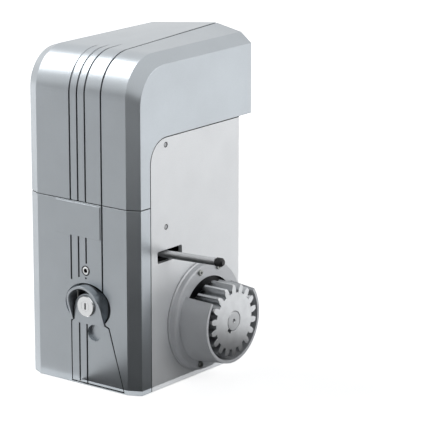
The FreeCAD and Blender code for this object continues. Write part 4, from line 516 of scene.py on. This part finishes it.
class GATEMOTOR_OT_spring(bpy.types.Operator):
    """Close-wound spring on the limit lever"""
    bl_idname = "gatemotor.spring"
    bl_label = "Wind Limit Spring"

    def execute(self, context):
        pitch = context.scene.gatemotor_spring.wire
        pivot = Vector(LIMIT)
        low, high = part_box("limit_rod_tip")
        along = (Vector(low) + Vector(high)) / 2 - pivot
        along.z = 0
        along.normalize()
        low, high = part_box("limit_spring_rod")
        radius = (high[2] - low[2]) / 2
        length = (high[0] - pivot.x) / along.x - SPRING_START
        coil = self.wind(context, radius, int(length / pitch) - 1)
        turn = along.to_track_quat("Z", "Y").to_matrix().to_4x4()
        start = pivot + along * (SPRING_START + pitch * FIRST_WINDING)
        coil.matrix_world = Matrix.Translation(start) @ turn
        context.view_layer.update()
        steel = machined_metal("drawn_spring_steel", "#C2C4C6", 0.31, "Z", pivot, pitch_mm=0.8)
        dress(steel, "limit_return_spring", "limit_spring_rod")
        freeze(coil, "wound_limit_spring", "limit", steel)
        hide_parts("limit_spring_rod")
        return {"FINISHED"}

    def wind(self, context, radius, turns):
        """Closed coil of round wire along Z."""
        settings = context.scene.gatemotor_spring
        wire_radius = settings.wire * WIRE_RADIUS
        deselect()
        bpy.ops.mesh.primitive_circle_add(vertices=8, radius=wire_radius, fill_type="NOTHING",
                                          location=(radius - wire_radius, 0, 0),
                                          rotation=(math.radians(90), 0, 0))
        coil = context.object
        bpy.ops.object.transform_apply(location=True, rotation=True, scale=True)
        winding = coil.modifiers.new("Winding", "SCREW")
        winding.angle = math.tau
        winding.screw_offset = settings.wire
        winding.iterations = turns
        winding.steps = winding.render_steps = settings.steps
        winding.axis = "Z"
        bpy.ops.object.modifier_apply(modifier="Winding")
        bpy.ops.object.mode_set(mode="EDIT")
        bpy.ops.mesh.select_all(action="SELECT")
        bpy.ops.mesh.remove_doubles(threshold=MERGE)
        bpy.ops.mesh.select_all(action="DESELECT")
        bpy.ops.mesh.select_non_manifold()
        bpy.ops.mesh.edge_face_add()
        bpy.ops.mesh.select_all(action="SELECT")
        bpy.ops.mesh.normals_make_consistent(inside=False)
        bpy.ops.object.mode_set(mode="OBJECT")
        bpy.ops.object.shade_smooth()
        return coil


class GATEMOTOR_OT_studio(bpy.types.Operator):
    """White floor and surroundings, cards for the reflections, soft lamps and the camera"""
    bl_idname = "gatemotor.studio"
    bl_label = "Set Up Studio"

    def execute(self, context):
        self.lay_floor()
        self.stand_flags()
        self.fill_surroundings(context.scene)
        self.hang_lamps()
        self.stand_camera(context.scene)
        context.scene.view_settings.view_transform = "Standard"
        return {"FINISHED"}

    def lay_floor(self):
        """Pale floor that takes the shadow and goes over into the white of the surroundings."""
        floor = add_card("studio_floor", FLOOR_SIZE, location=(0, 0, -FLOOR_DROP))
        bpy.ops.object.transform_apply(location=True, rotation=True, scale=True)
        bpy.ops.object.mode_set(mode="EDIT")
        bpy.ops.mesh.subdivide(number_cuts=2)
        bpy.ops.object.mode_set(mode="OBJECT")
        material, place = new_material("white_paper")
        reach = (node(material, "VectorMath", {"operation": "LENGTH"}, _0=place), "Value")
        sweep = ranged(material, reach, FLOOR_GLOW, 1.0, SWEEP)
        glow = maths(material, "MULTIPLY", self.clear_rays(material), sweep)
        fibre = mottled(material, place, linear("#F4F4F4"), spread=0.01, grain_mm=30)
        surface(material, Base_Color=fibre, Roughness=0.9, Emission_Color=linear("#FFFFFF"),
                Emission_Strength=glow)
        floor.data.materials.append(material)

    def stand_flags(self):
        """Black and grey cards on the front side: bright metal mirrors them, and nothing else sees them."""
        for name, azimuth, far, height, tilt, width, depth, glow in FLAGS:
            card = add_card(name, 1, location=far * direction(azimuth, 0) + Vector((0, 0, height)),
                            rotation=facing(direction(azimuth, tilt)))
            card.scale = (width, depth, 1)
            bpy.ops.object.transform_apply(location=True, rotation=True, scale=True)
            card.visible_camera = card.visible_diffuse = card.visible_shadow = False
            felt = moulded_plastic("felt_on_" + name, "#0A0A0B", rough=0.9, grain_mm=2)
            shader = principled(felt)
            shader.inputs["Emission Color"].default_value = linear("#FFFFFF")
            shader.inputs["Emission Strength"].default_value = glow
            card.data.materials.append(felt)

    def clear_rays(self, owner):
        """Link to 1 for rays from the camera, off gloss or through glass, and 0 for all others."""
        rays = node(owner, "LightPath")
        seen = maths(owner, "MAXIMUM", (rays, "Is Camera Ray"), (rays, "Is Glossy Ray"))
        return maths(owner, "MAXIMUM", seen, (rays, "Is Transmission Ray"))

    def fill_surroundings(self, scene):
        """Surroundings that look white and give little light."""
        world = bpy.data.worlds.new("studio_air")
        world.use_nodes = True
        world.node_tree.nodes.clear()
        dim = (node(world, "Background", Color=linear("#E9EDF2"), Strength=AIR_LIGHT), "Background")
        white = (node(world, "Background", Color=linear("#FFFFFF")), "Background")
        mix = node(world, "MixShader", _0=self.clear_rays(world), _1=dim, _2=white)
        node(world, "OutputWorld", Surface=(mix, "Shader"))
        scene.world = world

    def hang_lamps(self):
        """Two large soft lamps, both aimed at the middle of the motor."""
        for name, azimuth, elevation, size, power in LAMPS:
            away = direction(azimuth, elevation)
            deselect()
            bpy.ops.object.light_add(type="AREA", location=LAMP_TARGET + LAMP_DISTANCE * away,
                                     rotation=facing(away))
            lamp = bpy.context.object
            lamp.name = name
            lamp.data.energy = power
            lamp.data.size = size

    def stand_camera(self, scene):
        """Camera that looks at its target along the settings' direction."""
        settings = scene.gatemotor_studio
        away = direction(math.degrees(settings.azimuth), math.degrees(settings.elevation))
        deselect()
        bpy.ops.object.camera_add(location=Vector(settings.target) + away * settings.distance,
                                  rotation=facing(away))
        camera = bpy.context.object
        camera.data.lens = settings.lens
        camera.data.clip_end = 50
        scene.camera = camera


class GATEMOTOR_PT_sidebar(bpy.types.Panel):
    """Panel with the settings and one button for each group of pieces"""
    bl_idname = "GATEMOTOR_PT_sidebar"
    bl_label = "Gate Motor"
    bl_space_type = "VIEW_3D"
    bl_region_type = "UI"
    bl_category = "Gate Motor"

    def draw(self, context):
        for group, kind in SETTINGS.items():
            box = self.layout.box()
            for name in kind.__annotations__:
                box.prop(getattr(context.scene, group), name)
        for operator in OPERATORS:
            self.layout.operator(operator.bl_idname)


SETTINGS = {"gatemotor_paint": PaintSettings, "gatemotor_spring": SpringSettings,
            "gatemotor_studio": StudioSettings}
OPERATORS = (GATEMOTOR_OT_paint, GATEMOTOR_OT_drive, GATEMOTOR_OT_motor, GATEMOTOR_OT_controls,
             GATEMOTOR_OT_lock, GATEMOTOR_OT_spring, GATEMOTOR_OT_studio)
CLASSES = (*SETTINGS.values(), *OPERATORS, GATEMOTOR_PT_sidebar)


def register():
    for kind in CLASSES:
        bpy.utils.register_class(kind)
    for name, kind in SETTINGS.items():
        setattr(bpy.types.Scene, name, PointerProperty(type=kind))


def unregister():
    for name in SETTINGS:
        delattr(bpy.types.Scene, name)
    for kind in reversed(CLASSES):
        bpy.utils.unregister_class(kind)


def main():
    """Dress the frame piece by piece."""
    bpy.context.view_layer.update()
    register()
    bpy.ops.gatemotor.paint()
    bpy.ops.gatemotor.drive()
    bpy.ops.gatemotor.motor()
    bpy.ops.gatemotor.controls()
    bpy.ops.gatemotor.lock()
    bpy.ops.gatemotor.spring()
    bpy.ops.gatemotor.studio()


if __name__ == "__main__":
    main()
